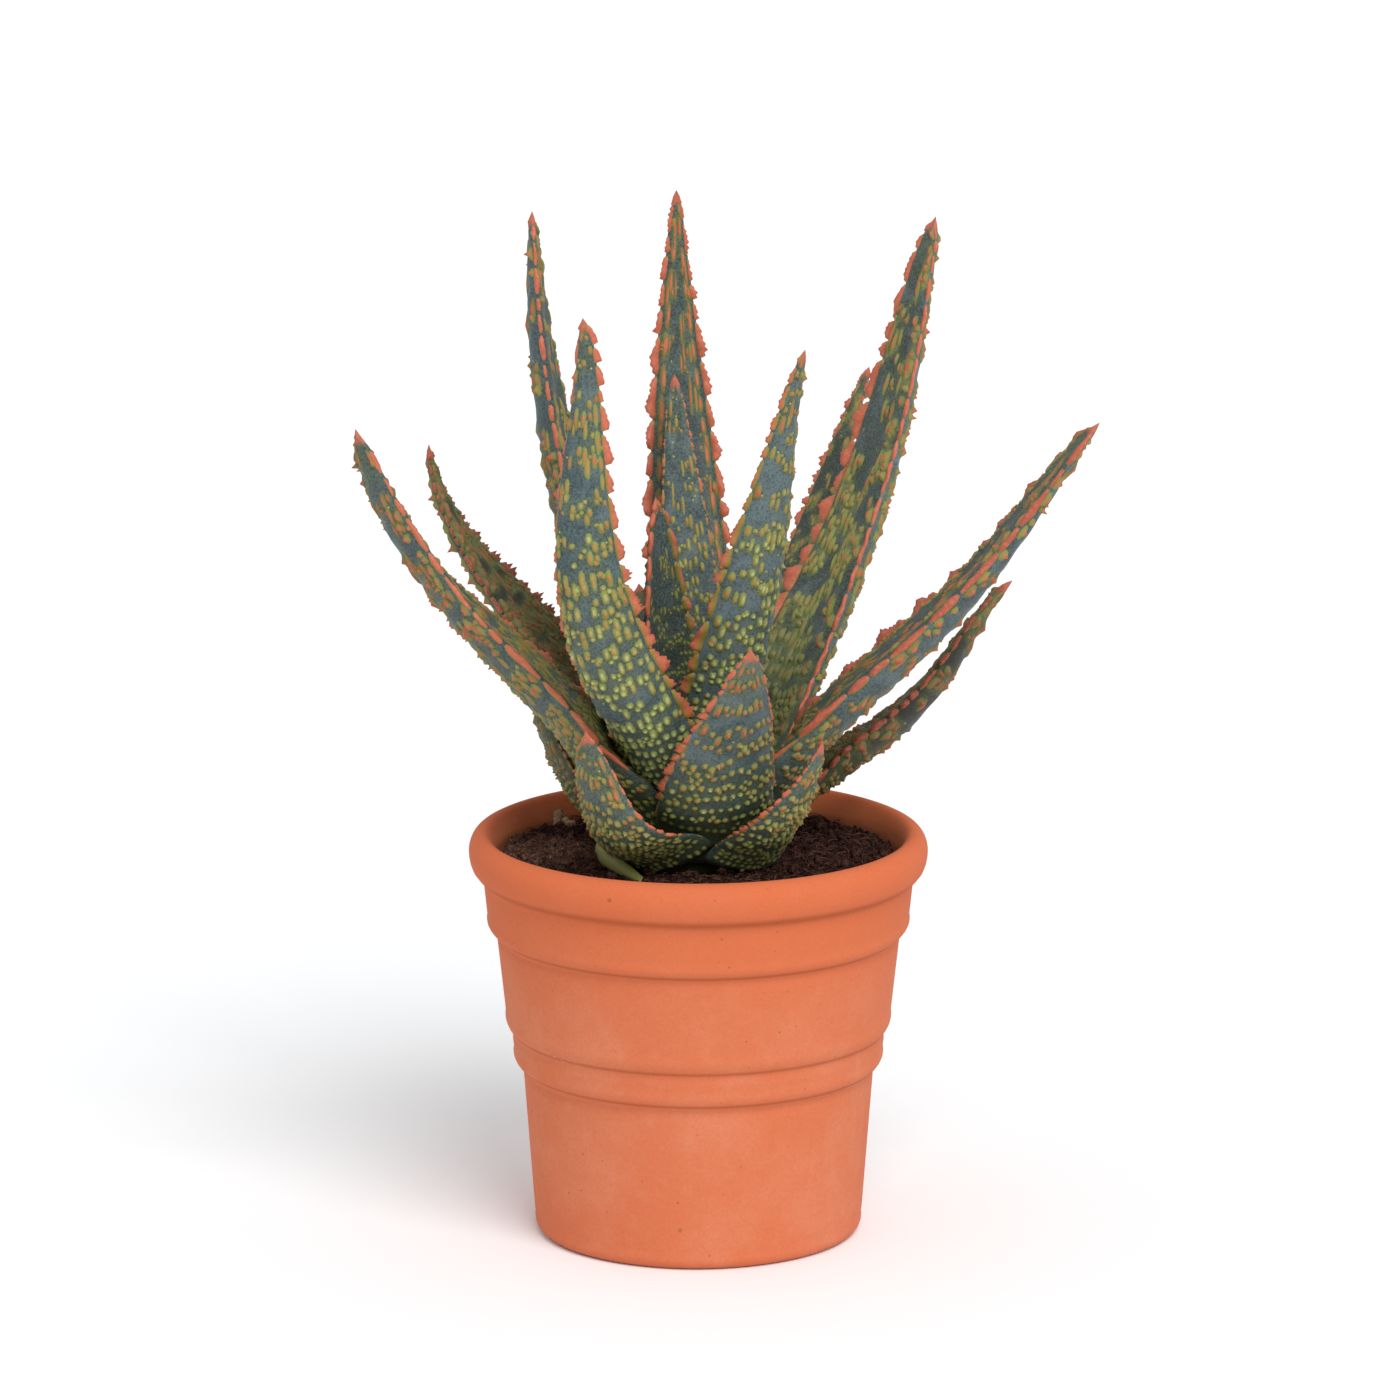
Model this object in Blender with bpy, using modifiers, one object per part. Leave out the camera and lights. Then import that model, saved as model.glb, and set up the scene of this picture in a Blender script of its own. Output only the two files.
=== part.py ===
"""Potted aloe: a rosette of toothed, spotted leaves standing in a stepped terracotta pot.

Metres, +Z up. The origin is the centre of the pot's underside, and the front of the plant faces -Y.
Each leaf, the stem, the soil and the pot is an object of its own.
"""
import math
import random

import bmesh
import bpy
from mathutils import Vector

MM = 0.001

# Pot, in millimetres: the outer side steps inwards three times on its way down
POT_HEIGHT = 116.6
RIM_RADIUS = 65.3
RIM_ROLL = 5.6
RIM_BOTTOM = 104.0
COLLAR_RADIUS = 60.6
COLLAR_BOTTOM = 90.0
BODY_RADIUS = 57.3
BODY_TAPER = 2.5
BODY_BOTTOM = 62.0
BAND_RADIUS = 53.0
BAND_BOTTOM = 50.8
FOOT_RADIUS = 49.9
BASE_RADIUS = 46.8
BASE_ROUND = 3.4
STEP_DROPS = (4.8, 6.4, 5.6)
STEP_BULGE = 1.2
STEP_LIP = 0.7
MOUTH_RADIUS = 58.0
MOUTH_ROLL = 3.2
FLOOR_RADIUS = 41.0
FLOOR_THICKNESS = 6.0
FLOOR_ROUND = 4.0
POT_STEPS = 44
DRAIN_COUNT = 3
DRAIN_CIRCLE_RADIUS = 22.0
DRAIN_RADIUS = 5.0
DRAIN_SIDES = 16

# Soil and stem, in millimetres
SOIL_LEVEL = 109.8
SOIL_GAP = 0.3
SOIL_LUMP = 1.6
SOIL_LUMP_RATE = 0.16
SOIL_STEPS = 30
SOIL_RINGS = 7
SOIL_EDGE_RADIUS = 55.0
FLAT_SOIL_RADIUS = 28.0
FLAT_SOIL_FADE = 7.0
MOUND_PLACE = (-38.0, -8.0)
MOUND_HEIGHT = 3.0
MOUND_SPREAD = 220.0
HOLE_FLOOR = 80.0
STEM_RADIUS = 14.0
STEM_STEPS = 28

# The stem's crown is a cone, and a leaf that starts nearer the axis starts higher up on it
CROWN_EDGE_RADIUS = 27.0
CROWN_EDGE_HEIGHT = 111.5
CROWN_SLOPE = 1.10
CROWN_DROP = 1.85
CROWN_TIP_RADIUS = 2.0
CROWN_MARGIN = 2.5

# Leaf sections, in millimetres and degrees
ROW_SPACING = 2.8
TOOTH_SHAPE = (0.0, 1.0, 0.72)
TOOTH_VARIATION = (0.75, 1.15)
TOOTH_START = 9.0
TOOTH_FADE = 30.0
TOOTH_TIP_SHARE = 0.25
BASE_WRAP = 1.75
TAPER_POWER = 1.05
THIN_POWER = 0.55
KEEL = 1.15
KEEL_FALL = 0.45
SAG_SHARE = 0.35
SHEATH_THICKNESS = 1.9
SHEATH_LENGTH = 24.0
CHANNEL_LENGTH = 36.0
FULL_WIDTH_SHARE = 0.80
TIP_CHANNEL = 20.0
TIP_WIDTH = 2.2
TIP_LENGTH = 8.0
TIP_THICKNESS = 1.3
RELIEF_HEIGHT = 0.35
RELIEF_RATES = (1.9, 2.3)
INNER_PLACES = (0.55, 0.0, -0.55)
OUTER_PLACES = (-0.62, 0.0, 0.62)

# name, azimuth, azimuth of the base, base radius, length, four leans from base to tip, drift,
# widths at the base and in the blade, thickness, channel half angle, twists at the middle and the
# tip, fullness of the tip, tooth height
# Angles are in degrees: azimuth from +X towards +Y, lean from upright. Sizes are in millimetres.
LEAVES = (
    ("leaf_left_long", 179, 220, 23.5, 146, (2, 43, 39, 15), -1, (22, 31), 7.6, 34, (4, 33), 6.0, 2.2),
    ("leaf_left_back", 161, 143, 18.4, 122, (23, 39, 40, 3), 1, (17, 18), 6.0, 34, (-18, 0), 1.8, 1.6),
    ("leaf_front_left", 233, 269, 17.8, 169, (18, 36, 3, 12), -2, (24, 20), 7.6, 32, (37, 21), 2.4, 2.4),
    ("leaf_tall_left", 177, 182, 15.3, 174, (-1, 17, 10, 3), -1, (21, 28), 8.0, 32, (-5, 0), 6.4, 2.0),
    ("leaf_tall_centre", 99, 83, 12.0, 172, (22, 25, 12, -4), 1, (18, 22), 7.0, 30, (4, 10), 1.5, 2.0),
    ("leaf_inner_back", 101, 88, 8.2, 114, (10, 19, 22, 11), 1, (13, 15), 4.5, 36, (3, -20), 2.6, 1.2),
    ("leaf_heart", 147, 162, 4.8, 77, (13, 9, 2, 7), 0, (8, 18), 3.2, 44, (-3, 0), 1.2, 0.8),
    ("leaf_front_right", 307, 294, 12.0, 142, (-4, 20, 16, 26), 3, (20, 22), 7.0, 32, (0, 14), 1.5, 1.8),
    ("leaf_tall_right", 46, 59, 16.0, 181, (35, 37, 22, 22), 1, (24, 25), 8.0, 32, (-18, -6), 4.6, 2.2),
    ("leaf_right_back", 67, 76, 22.0, 155, (40, 48, 42, 47), -3, (15, 15), 6.0, 34, (-11, 0), 1.4, 1.8),
    ("leaf_right_long", 352, 325, 20.4, 156, (7, 47, 39, 42), 1, (23, 23), 8.0, 34, (4, 13), 5.8, 2.2),
    ("leaf_right_low", 4, 29, 24.0, 100, (17, 57, 37, 53), 0, (18, 20), 7.0, 34, (-10, -14), 4.8, 2.0),
    ("leaf_front_small", 283, 280, 25.0, 82, (18, 30, 37, 21), 3, (28, 30), 5.0, 34, (12, 16), 3.4, 1.4),
    ("leaf_sheath_left", 223, 243, 26.9, 56, (46, 47, 20, 18), 0, (23, 27), 4.0, 40, (-16, 8), 1.0, 1.0),
    ("leaf_sheath_right", 313, 300, 27.0, 54, (40, 44, 35, 21), 0, (17, 20), 4.0, 38, (12, 21), 0.9, 1.0),
    ("leaf_left_low", 181, 178, 25.8, 50, (30, 28, 25, 5), 0, (15, 17), 5.0, 36, (8, 23), 1.2, 1.2),
    ("leaf_back_left", 135, 141, 23.0, 80, (34, 52, 60, 50), 2, (18, 20), 7.0, 34, (0, 0), 2.4, 2.0),
    ("leaf_back_right", 99, 105, 25.2, 84, (34, 46, 54, 48), 2, (20, 22), 7.0, 34, (0, 0), 2.4, 2.0),
    ("leaf_back_low", 66, 62, 27.5, 60, (48, 56, 52, 36), 0, (20, 22), 5.0, 38, (0, 0), 1.2, 1.4),
    ("leaf_back_sheath", 122, 120, 27.0, 54, (48, 52, 44, 28), 0, (24, 26), 4.5, 40, (0, 0), 1.2, 1.2),
)

# Colours as linear values with roughness
TERRACOTTA = ((0.72, 0.19, 0.09), 0.9)
SOIL_BROWN = ((0.05, 0.025, 0.016), 1.0)
LEAF_GREEN = ((0.08, 0.13, 0.13), 0.55)
STEM_GREEN = ((0.16, 0.20, 0.06), 0.7)


def clear_scene():
    """Remove what the scene holds."""
    for old in list(bpy.data.objects):
        bpy.data.objects.remove(old)


def new_collection(name):
    """Make a collection under the scene's own."""
    collection = bpy.data.collections.new(name)
    bpy.context.scene.collection.children.link(collection)
    return collection


def plain_material(name, colour, roughness):
    """Make a Principled material of one colour."""
    material = bpy.data.materials.new(name)
    material.use_nodes = True
    shader = material.node_tree.nodes["Principled BSDF"]
    shader.inputs["Base Color"].default_value = (*colour, 1.0)
    shader.inputs["Roughness"].default_value = roughness
    shader.inputs["Metallic"].default_value = 0.0
    return material


def add_object(name, mesh, collection, material):
    """Link a mesh as a named object with one material."""
    part = bpy.data.objects.new(name, mesh)
    collection.objects.link(part)
    if material:
        part.data.materials.append(material)
    return part


def smoothstep(value):
    """Ease from 0 to 1."""
    value = min(1.0, max(0.0, value))
    return value * value * (3 - 2 * value)


def ripple(x, y, z=0.0):
    """A smooth bumpy value between about -1 and 1, the same on every run."""
    return (math.sin(1.7 * x + 0.9 * y + 1.3 * z) + math.sin(-1.1 * x + 2.1 * y - 0.7 * z + 1.0)
            + math.sin(0.6 * x + 0.7 * y + 2.3 * z + 2.0)) / 3


def turned(name, profile, steps, collection, material):
    """Turn a profile of (radius, height) in millimetres round the Z axis."""
    mesh = bpy.data.meshes.new(name)
    points = [(radius * MM, 0.0, height * MM) for radius, height in profile]
    mesh.from_pydata(points, [(i, i + 1) for i in range(len(points) - 1)], [])
    part = add_object(name, mesh, collection, material)
    screw = part.modifiers.new("Turn", "SCREW")
    screw.steps = steps
    screw.render_steps = steps
    screw.use_merge_vertices = True
    screw.merge_threshold = 0.00001
    return part


def applied_mesh(part):
    """Return the mesh that the object's modifiers give."""
    depsgraph = bpy.context.evaluated_depsgraph_get()
    return bpy.data.meshes.new_from_object(part.evaluated_get(depsgraph))


def arc(centre, semi_axes, start, end, count):
    """Points of an elliptic arc in a profile, with angles in degrees from the outward side."""
    points = []
    for i in range(count):
        angle = math.radians(start + (end - start) * i / (count - 1))
        points.append((centre[0] + semi_axes[0] * math.cos(angle),
                       centre[1] + semi_axes[1] * math.sin(angle)))
    return points


def step_in(upper_radius, upper_height, lower_radius, lower_height):
    """A softly rounded step of the outer side."""
    middle = (upper_height + lower_height) / 2
    return [(upper_radius, upper_height), (upper_radius - STEP_LIP, middle + STEP_BULGE),
            (lower_radius, lower_height)]


def make_pot(collection, cutters, material):
    """The pot: a rolled rim, a collar, two bands and a foot, each narrower than the last."""
    rim_height = POT_HEIGHT - RIM_ROLL
    crest_radius = MOUTH_RADIUS + MOUTH_ROLL
    profile = [(0.0, FLOOR_THICKNESS), (FLOOR_RADIUS - FLOOR_ROUND, FLOOR_THICKNESS),
               (FLOOR_RADIUS, FLOOR_THICKNESS + FLOOR_ROUND), (MOUTH_RADIUS - 2.0, POT_HEIGHT - 14.0)]
    profile += arc((crest_radius, rim_height), (MOUTH_ROLL, RIM_ROLL), 180, 90, 4)
    profile += arc((crest_radius, rim_height), (RIM_RADIUS - crest_radius, RIM_ROLL), 60, 0, 3)
    profile += [(RIM_RADIUS - 0.7, RIM_BOTTOM + 3.0), (RIM_RADIUS - 2.8, RIM_BOTTOM)]
    profile += [(COLLAR_RADIUS + 0.3, RIM_BOTTOM - 2.0), (COLLAR_RADIUS - 0.3, COLLAR_BOTTOM + 4.0)]
    lowers = (BODY_RADIUS, BAND_RADIUS, FOOT_RADIUS)
    uppers = (COLLAR_RADIUS - 0.8, BODY_RADIUS - BODY_TAPER, BAND_RADIUS - 0.6)
    heights = (COLLAR_BOTTOM, BODY_BOTTOM, BAND_BOTTOM)
    for upper, lower, height, drop in zip(uppers, lowers, heights, STEP_DROPS):
        profile += step_in(upper, height, lower, height - drop)
    profile += arc((BASE_RADIUS - BASE_ROUND, BASE_ROUND), (BASE_ROUND, BASE_ROUND), 0, -90, 3)
    profile.append((0.0, 0.0))
    pot = turned("pot", profile, POT_STEPS, collection, material)
    for i in range(DRAIN_COUNT):
        angle = 2 * math.pi * (i + 0.25) / DRAIN_COUNT
        bpy.ops.mesh.primitive_cylinder_add(
            vertices=DRAIN_SIDES, radius=DRAIN_RADIUS * MM, depth=4 * FLOOR_THICKNESS * MM,
            location=(DRAIN_CIRCLE_RADIUS * MM * math.cos(angle),
                      DRAIN_CIRCLE_RADIUS * MM * math.sin(angle), 0.0))
        drain = bpy.context.object
        drain.name = f"drain_cutter_{i + 1}"
        move_to(drain, cutters)
        cut = pot.modifiers.new(f"Drain {i + 1}", "BOOLEAN")
        cut.object = drain
        cut.operation = "DIFFERENCE"
    return pot


def move_to(part, collection):
    """Put a cutter in its collection and keep it out of the render."""
    for old in list(part.users_collection):
        old.objects.unlink(part)
    collection.objects.link(part)
    part.hide_render = True
    part.display_type = "WIRE"


def make_soil(collection, material):
    """The soil that fills the pot, lumpy on top, with a plain hole for the stem."""
    hole = STEM_RADIUS + SOIL_GAP
    profile = [(0.0, HOLE_FLOOR), (hole, HOLE_FLOOR), (hole, SOIL_LEVEL)]
    for i in range(1, SOIL_RINGS + 1):
        profile.append((hole + (SOIL_EDGE_RADIUS - hole) * i / SOIL_RINGS, SOIL_LEVEL))
    profile += [(SOIL_EDGE_RADIUS - 1.0, SOIL_LEVEL - 7.0),
                (FLOOR_RADIUS - 2 * SOIL_GAP, FLOOR_THICKNESS + FLOOR_ROUND + 1.0),
                (FLOOR_RADIUS - FLOOR_ROUND - 1.0, FLOOR_THICKNESS + SOIL_GAP),
                (0.0, FLOOR_THICKNESS + SOIL_GAP)]
    soil = turned("soil", profile, SOIL_STEPS, collection, material)
    mesh = applied_mesh(soil)
    for vertex in mesh.vertices:
        x, y, z = vertex.co / MM
        if z > SOIL_LEVEL - 1:
            spread = smoothstep((math.hypot(x, y) - FLAT_SOIL_RADIUS) / FLAT_SOIL_FADE)
            lump = SOIL_LUMP * ripple(x * SOIL_LUMP_RATE, y * SOIL_LUMP_RATE)
            vertex.co.z += (lump + mound(x, y)) * spread * MM
    bpy.data.objects.remove(soil)
    return add_object("soil", mesh, collection, material)


def mound(x, y):
    """The soil heaped up to the left of the plant."""
    distance = math.hypot(x - MOUND_PLACE[0], y - MOUND_PLACE[1])
    return MOUND_HEIGHT * math.exp(-distance ** 2 / MOUND_SPREAD)


def make_stem(collection, material):
    """The short stem: a plug in the soil with a cone on it that carries the leaves."""
    top = crown_height(CROWN_TIP_RADIUS) - CROWN_DROP
    profile = [(0.0, top + 1.0), (CROWN_TIP_RADIUS, top)]
    edge = CROWN_EDGE_RADIUS - CROWN_MARGIN
    profile += [(edge, crown_height(edge) - CROWN_DROP), (edge, SOIL_LEVEL + 2 * SOIL_GAP),
                (STEM_RADIUS, SOIL_LEVEL + SOIL_GAP)]
    profile += [(STEM_RADIUS, HOLE_FLOOR + SOIL_GAP), (0.0, HOLE_FLOOR + SOIL_GAP)]
    return turned("stem", profile, STEM_STEPS, collection, material)


def crown_height(radius):
    """Height at which a leaf starts that starts at this radius."""
    return CROWN_EDGE_HEIGHT + (CROWN_EDGE_RADIUS - radius) * CROWN_SLOPE


class Leaf:
    """One leaf: its centreline, and its width, thickness and channel along it."""

    def __init__(self, row):
        (self.name, self.azimuth, self.base_azimuth, self.base_radius, self.length, self.leans,
         self.drift, (self.base_width, self.width), self.thickness, self.channel, self.twists,
         self.fullness, self.tooth) = row
        self.random = random.Random(self.name)
        self.rows = round(self.length / ROW_SPACING)
        self.centres = self.centreline()

    def lean(self, s):
        """Lean at a share s of the length: a cubic through the four given values."""
        x = 3 * s
        a, b, c, d = self.leans
        return (-a * (x - 1) * (x - 2) * (x - 3) / 6 + b * x * (x - 2) * (x - 3) / 2
                - c * x * (x - 1) * (x - 3) / 2 + d * x * (x - 1) * (x - 2) / 6)

    def heading(self, s):
        """Azimuth at a share s of the length, in radians."""
        return math.radians(self.azimuth + self.drift * s)

    def direction(self, s):
        """Unit vector along the leaf."""
        lean = math.radians(self.lean(s))
        heading = self.heading(s)
        return Vector((math.sin(lean) * math.cos(heading), math.sin(lean) * math.sin(heading),
                       math.cos(lean)))

    def centreline(self):
        """Points of the centreline at each row, in millimetres."""
        start = math.radians(self.base_azimuth)
        point = Vector((self.base_radius * math.cos(start), self.base_radius * math.sin(start),
                        crown_height(self.base_radius)))
        points = [point.copy()]
        for row in range(self.rows):
            point = point + self.direction((row + 0.5) / self.rows) * (self.length / self.rows)
            points.append(point.copy())
        return points

    def frame(self, s):
        """Unit vectors across the leaf and towards its inner face."""
        heading = self.heading(s)
        across = Vector((-math.sin(heading), math.cos(heading), 0.0))
        inward = self.direction(s).cross(across)
        turn = math.radians(self.turn(s))
        return (across * math.cos(turn) + inward * math.sin(turn),
                inward * math.cos(turn) - across * math.sin(turn))

    def turn(self, s):
        """Twist about the centreline: the base faces the stem, the blade its own way."""
        base = (self.base_azimuth - self.azimuth) * (1 - smoothstep(s * self.length / CHANNEL_LENGTH))
        middle, tip = self.twists
        return base + middle * smoothstep(s * 2) + (tip - middle) * smoothstep(s * 2 - 1)

    def body(self, s):
        """Taper towards the tip, from 1 to 0."""
        return math.sin(math.pi / 2 * min(1.0, (1 - s) / FULL_WIDTH_SHARE))

    def sheath(self, s):
        """Rise from the thin sheathing base to the full blade."""
        return smoothstep(s * self.length / SHEATH_LENGTH)

    def width_at(self, s):
        """Width between the margins without the teeth."""
        base = min(self.base_width, BASE_WRAP * self.base_radius)
        tip = self.fullness * smoothstep((1 - s) * self.length / TIP_LENGTH)
        full = self.width * self.body(s) ** TAPER_POWER + tip
        return max(TIP_WIDTH, full - (self.width - base) * (1 - self.sheath(s)))

    def thickness_at(self, s):
        """Thickness in the middle of the blade."""
        full = SHEATH_THICKNESS + (self.thickness - SHEATH_THICKNESS) * self.sheath(s)
        return max(TIP_THICKNESS, full * self.body(s) ** THIN_POWER)

    def channel_at(self, s):
        """Half angle of the arc that the section is bent in, in radians."""
        sine = self.width_at(0) / (2 * self.base_radius)
        base = math.degrees(math.asin(min(0.95, sine)))
        along = smoothstep(s * self.length / CHANNEL_LENGTH)
        blade = self.channel + (TIP_CHANNEL - self.channel) * smoothstep(s * 1.6 - 0.6)
        return math.radians(base + (blade - base) * along)

    def section(self, row):
        """The ring of eight points of one row: a margin, inner face, a margin, outer face."""
        s = row / self.rows
        across, inward = self.frame(s)
        half_angle = self.channel_at(s)
        radius = self.width_at(s) / (2 * math.sin(half_angle))
        thickness = self.thickness_at(s)
        sag = radius * (1 - math.cos(half_angle))
        origin = self.centres[row] - inward * SAG_SHARE * sag * self.sheath(s)

        def place(u, depth):
            angle = u * half_angle
            x = (radius + depth) * math.sin(angle)
            y = radius - (radius + depth) * math.cos(angle)
            return origin + across * x + inward * y

        ring = [place(1.0, 0.0) + self.tooth_reach(row, 1.0, across, inward, half_angle)]
        ring += [place(u, -thickness / 2 - self.relief(row, u)) for u in INNER_PLACES]
        ring.append(place(-1.0, 0.0) + self.tooth_reach(row, -1.0, across, inward, half_angle))
        ring += [place(u, thickness / 2 * (KEEL - KEEL_FALL * abs(u)) + self.relief(row, u + 5))
                 for u in OUTER_PLACES]
        return ring

    def tooth_reach(self, row, side, across, inward, half_angle):
        """How far the margin stands out at this row, as a vector."""
        s = row / self.rows
        share = TOOTH_SHAPE[(row + (1 if side > 0 else 2)) % len(TOOTH_SHAPE)]
        fade = smoothstep((s * self.length - TOOTH_START) / TOOTH_FADE)
        fade *= TOOTH_TIP_SHARE + (1 - TOOTH_TIP_SHARE) * self.body(s)
        reach = self.tooth * share * fade * self.random.uniform(*TOOTH_VARIATION)
        return (across * side * math.cos(half_angle) + inward * math.sin(half_angle)) * reach

    def relief(self, row, place):
        """Low bumps in loose cross bands over the faces."""
        s = row / self.rows
        bump = ripple(row * RELIEF_RATES[0], place * RELIEF_RATES[1], self.azimuth)
        return RELIEF_HEIGHT * bump * self.body(s) * self.sheath(s)


def make_leaf(leaf, collection, material):
    """Loft a leaf through its rings, with a flat base and a pointed tip."""
    build = bmesh.new()
    rings = [[build.verts.new(point * MM) for point in leaf.section(row)] for row in range(leaf.rows)]
    inner_columns = (0, 1, 2, 3, 4)
    outer_columns = (0, 7, 6, 5, 4)
    for lower, upper in zip(rings, rings[1:]):
        for columns in (inner_columns, outer_columns):
            for a, b in zip(columns, columns[1:]):
                build.faces.new((lower[a], lower[b], upper[b]))
                build.faces.new((lower[a], upper[b], upper[a]))
    base = rings[0]
    build.faces.new((base[0], base[1], base[7]))
    build.faces.new((base[1], base[2], base[6], base[7]))
    build.faces.new((base[2], base[3], base[5], base[6]))
    build.faces.new((base[3], base[4], base[5]))
    tip = build.verts.new(leaf.centres[-1] * MM)
    last = rings[-1]
    for i in range(len(last)):
        build.faces.new((last[i], last[(i + 1) % len(last)], tip))
    bmesh.ops.recalc_face_normals(build, faces=build.faces)
    mesh = bpy.data.meshes.new(leaf.name)
    build.to_mesh(mesh)
    build.free()
    mesh.shade_smooth()
    mesh.set_sharp_from_angle(angle=math.radians(40))
    return add_object(leaf.name, mesh, collection, material)


def main():
    """Build the whole potted plant."""
    clear_scene()
    plant = new_collection("potted aloe")
    cutters = new_collection("cutters")
    make_pot(plant, cutters, plain_material("terracotta", *TERRACOTTA))
    make_soil(plant, plain_material("soil", *SOIL_BROWN))
    make_stem(plant, plain_material("stem", *STEM_GREEN))
    leaf_material = plain_material("leaf skin", *LEAF_GREEN)
    for row in LEAVES:
        make_leaf(Leaf(row), plant, leaf_material)


main()
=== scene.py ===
"""Looks of a potted aloe: spotted, toothed leaves, crumbly soil and a matte stepped terracotta pot.

Sizes in this file are in millimetres and angles in degrees, unless a name says otherwise.
The frame and the properties are in metres.
"""

import math
import random
from typing import NamedTuple

import bmesh
import bpy
import numpy as np
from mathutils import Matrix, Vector


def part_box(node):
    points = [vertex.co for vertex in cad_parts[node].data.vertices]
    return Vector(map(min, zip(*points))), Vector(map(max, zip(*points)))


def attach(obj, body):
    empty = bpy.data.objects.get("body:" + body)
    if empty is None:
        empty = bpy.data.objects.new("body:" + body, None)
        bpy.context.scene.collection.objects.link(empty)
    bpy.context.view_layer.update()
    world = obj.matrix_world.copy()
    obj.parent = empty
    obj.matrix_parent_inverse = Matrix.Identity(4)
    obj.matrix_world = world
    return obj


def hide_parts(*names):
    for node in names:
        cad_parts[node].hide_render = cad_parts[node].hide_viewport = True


bl_info = {
    "name": "Potted aloe",
    "version": (1, 0, 0),
    "blender": (4, 5, 0),
    "location": "3D View > Sidebar > Aloe",
    "description": "Builds the leaves, soil, pot and studio of a potted aloe",
    "category": "Add Mesh",
}

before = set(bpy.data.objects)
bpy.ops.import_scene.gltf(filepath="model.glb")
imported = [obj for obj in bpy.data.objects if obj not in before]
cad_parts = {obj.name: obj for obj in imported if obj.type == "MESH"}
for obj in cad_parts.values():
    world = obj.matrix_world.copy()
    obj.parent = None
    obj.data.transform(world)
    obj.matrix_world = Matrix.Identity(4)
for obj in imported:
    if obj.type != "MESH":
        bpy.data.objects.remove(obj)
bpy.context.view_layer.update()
MM = 0.001

# Pot: its height and its rim come from the frame
POT_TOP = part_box("pot")[1]
POT_HEIGHT = POT_TOP.z / MM
RIM_RADIUS = POT_TOP.x / MM
RIM_CREST_RADIUS = RIM_RADIUS - 4.1
RIM_ROLL = 5.6
COLLAR_RADIUS = 60.6
COLLAR_TOP = 101.0
COLLAR_FOOT = 92.5
BODY_RADIUS = 57.3
BODY_TOP = 85.4
BODY_FOOT = 64.5
BAND_RADIUS = 53.0
BAND_TOP = 56.2
BAND_FOOT = 53.5
FOOT_RADIUS = 49.9
FOOT_TOP = 45.6
BASE_RADIUS = 46.8
BASE_ROUND = 3.4
MOUTH_RADIUS = 58.0
MOUTH_DEPTH = 14.0
FLOOR_RADIUS = 41.0
FLOOR_THICKNESS = 6.0
FLOOR_ROUND = 4.0
POT_STEPS = 160
DRAIN_COUNT = 3
DRAIN_CIRCLE_RADIUS = 22.0
DRAIN_RADIUS = 5.0
# How far down and how far in a lip goes, as shares of its drop and of its fall
LIP_SHAPE = ((0.00, 0.00), (0.14, -0.06), (0.28, -0.02), (0.40, 0.12), (0.52, 0.36), (0.62, 0.66),
             (0.70, 0.90), (0.78, 1.03), (0.88, 1.05))
# Height, half width and strength of the painted shade in the creases under the rim, the collar, the body
# and the band
CREASE_SHADES = ((POT_HEIGHT - 11.8, 2.0, 0.60), (BODY_TOP + 2.9, 1.0, 0.60), (BAND_TOP + 3.1, 0.9, 0.55),
           (FOOT_TOP + 3.7, 0.9, 0.55))
SCUFF_PLACE = (-39.0, -38.5, 59.4)
RIM_FLECK_PLACE = (-24.6, -60.5, 111.7)
FOOT_FLECK_PLACE = (-5.0, -46.6, 12.3)

# Soil
SOIL_LEVEL = 109.8
SOIL_HOLE_RADIUS = 14.3
SOIL_EDGE_RADIUS = 55.6
SOIL_RING_STEP = 0.66
SOIL_STEPS = 320
HOLE_FLOOR = 80.0
FLAT_SOIL_RADIUS = 28.0
FLAT_SOIL_FADE = 7.0
MOUND_PLACE = (-38.0, -8.0)
MOUND_HEIGHT = 3.0
MOUND_SPREAD = 220.0
DRY_PLACE = (-42.0, 0.0, SOIL_LEVEL)
OPEN_SOIL_SHARE = 0.32
LUMP_PLACES = ((-40.5, 31.0, 110.9), (-38.0, 31.5, 110.6), (-40.0, 33.5, 111.8), (-36.5, 30.0, 110.2))
LUMP_TONE = 3.0
FIBRE_RINGS = 6

# The crown that the leaves grow from, and the leaf sections, as in the solids
CROWN_EDGE_RADIUS = 27.0
CROWN_EDGE_HEIGHT = 111.5
CROWN_SLOPE = 1.10
BASE_WRAP = 1.75
TAPER_POWER = 1.05
THIN_POWER = 0.55
SAG_SHARE = 0.35
SHEATH_THICKNESS = 1.9
SHEATH_LENGTH = 24.0
SHEATHING_LENGTH = 58.0
CHANNEL_LENGTH = 36.0
FULL_WIDTH_SHARE = 0.80
TIP_CHANNEL = 20.0
TIP_WIDTH = 2.2
TIP_LENGTH = 8.0
TIP_THICKNESS = 1.3
POINT_LENGTH = 2.8
EDGE_HALF_THICKNESS = 0.48
LINE_STEPS = 400

# Raised spots: rings of points, how wide and how high they are, and how far into the spot's colours
DOME_POINTS = 10
LARGE_DOME = ((1.15, 0.76, 0.38), (0.0, 0.50, 0.92), (-1.0, -0.10, 0.65))
SMALL_DOME = ((1.15, 0.60), (0.0, 0.72), (-1.0, 0.25))
LARGE_SPOT = 0.70
SPOT_SPAN = 0.93

# The section of the horn on a margin: how far out and how thick its six points are
HORN_OUT = (-0.9, 0.45, 1.0, 1.0, 0.45, -0.9)
HORN_THICK = (-1.0, -0.86, -0.38, 0.38, 0.86, 1.0)

# A smooth green stub that leans on the foot of one leaf
STUB_LEAF = "leaf_sheath_left"
STUB_PATH = ((-27.3, -2.0, 113.8), (-27.8, -9.0, 113.8), (-26.0, -17.5, 113.4), (-22.0, -26.0, 112.6),
             (-15.5, -34.5, 110.6))
STUB_HALF_WIDTH = 2.7
STUB_HALF_THICKNESS = 0.35
STUB_STEPS = 24
STUB_POINTS = 7

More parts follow.
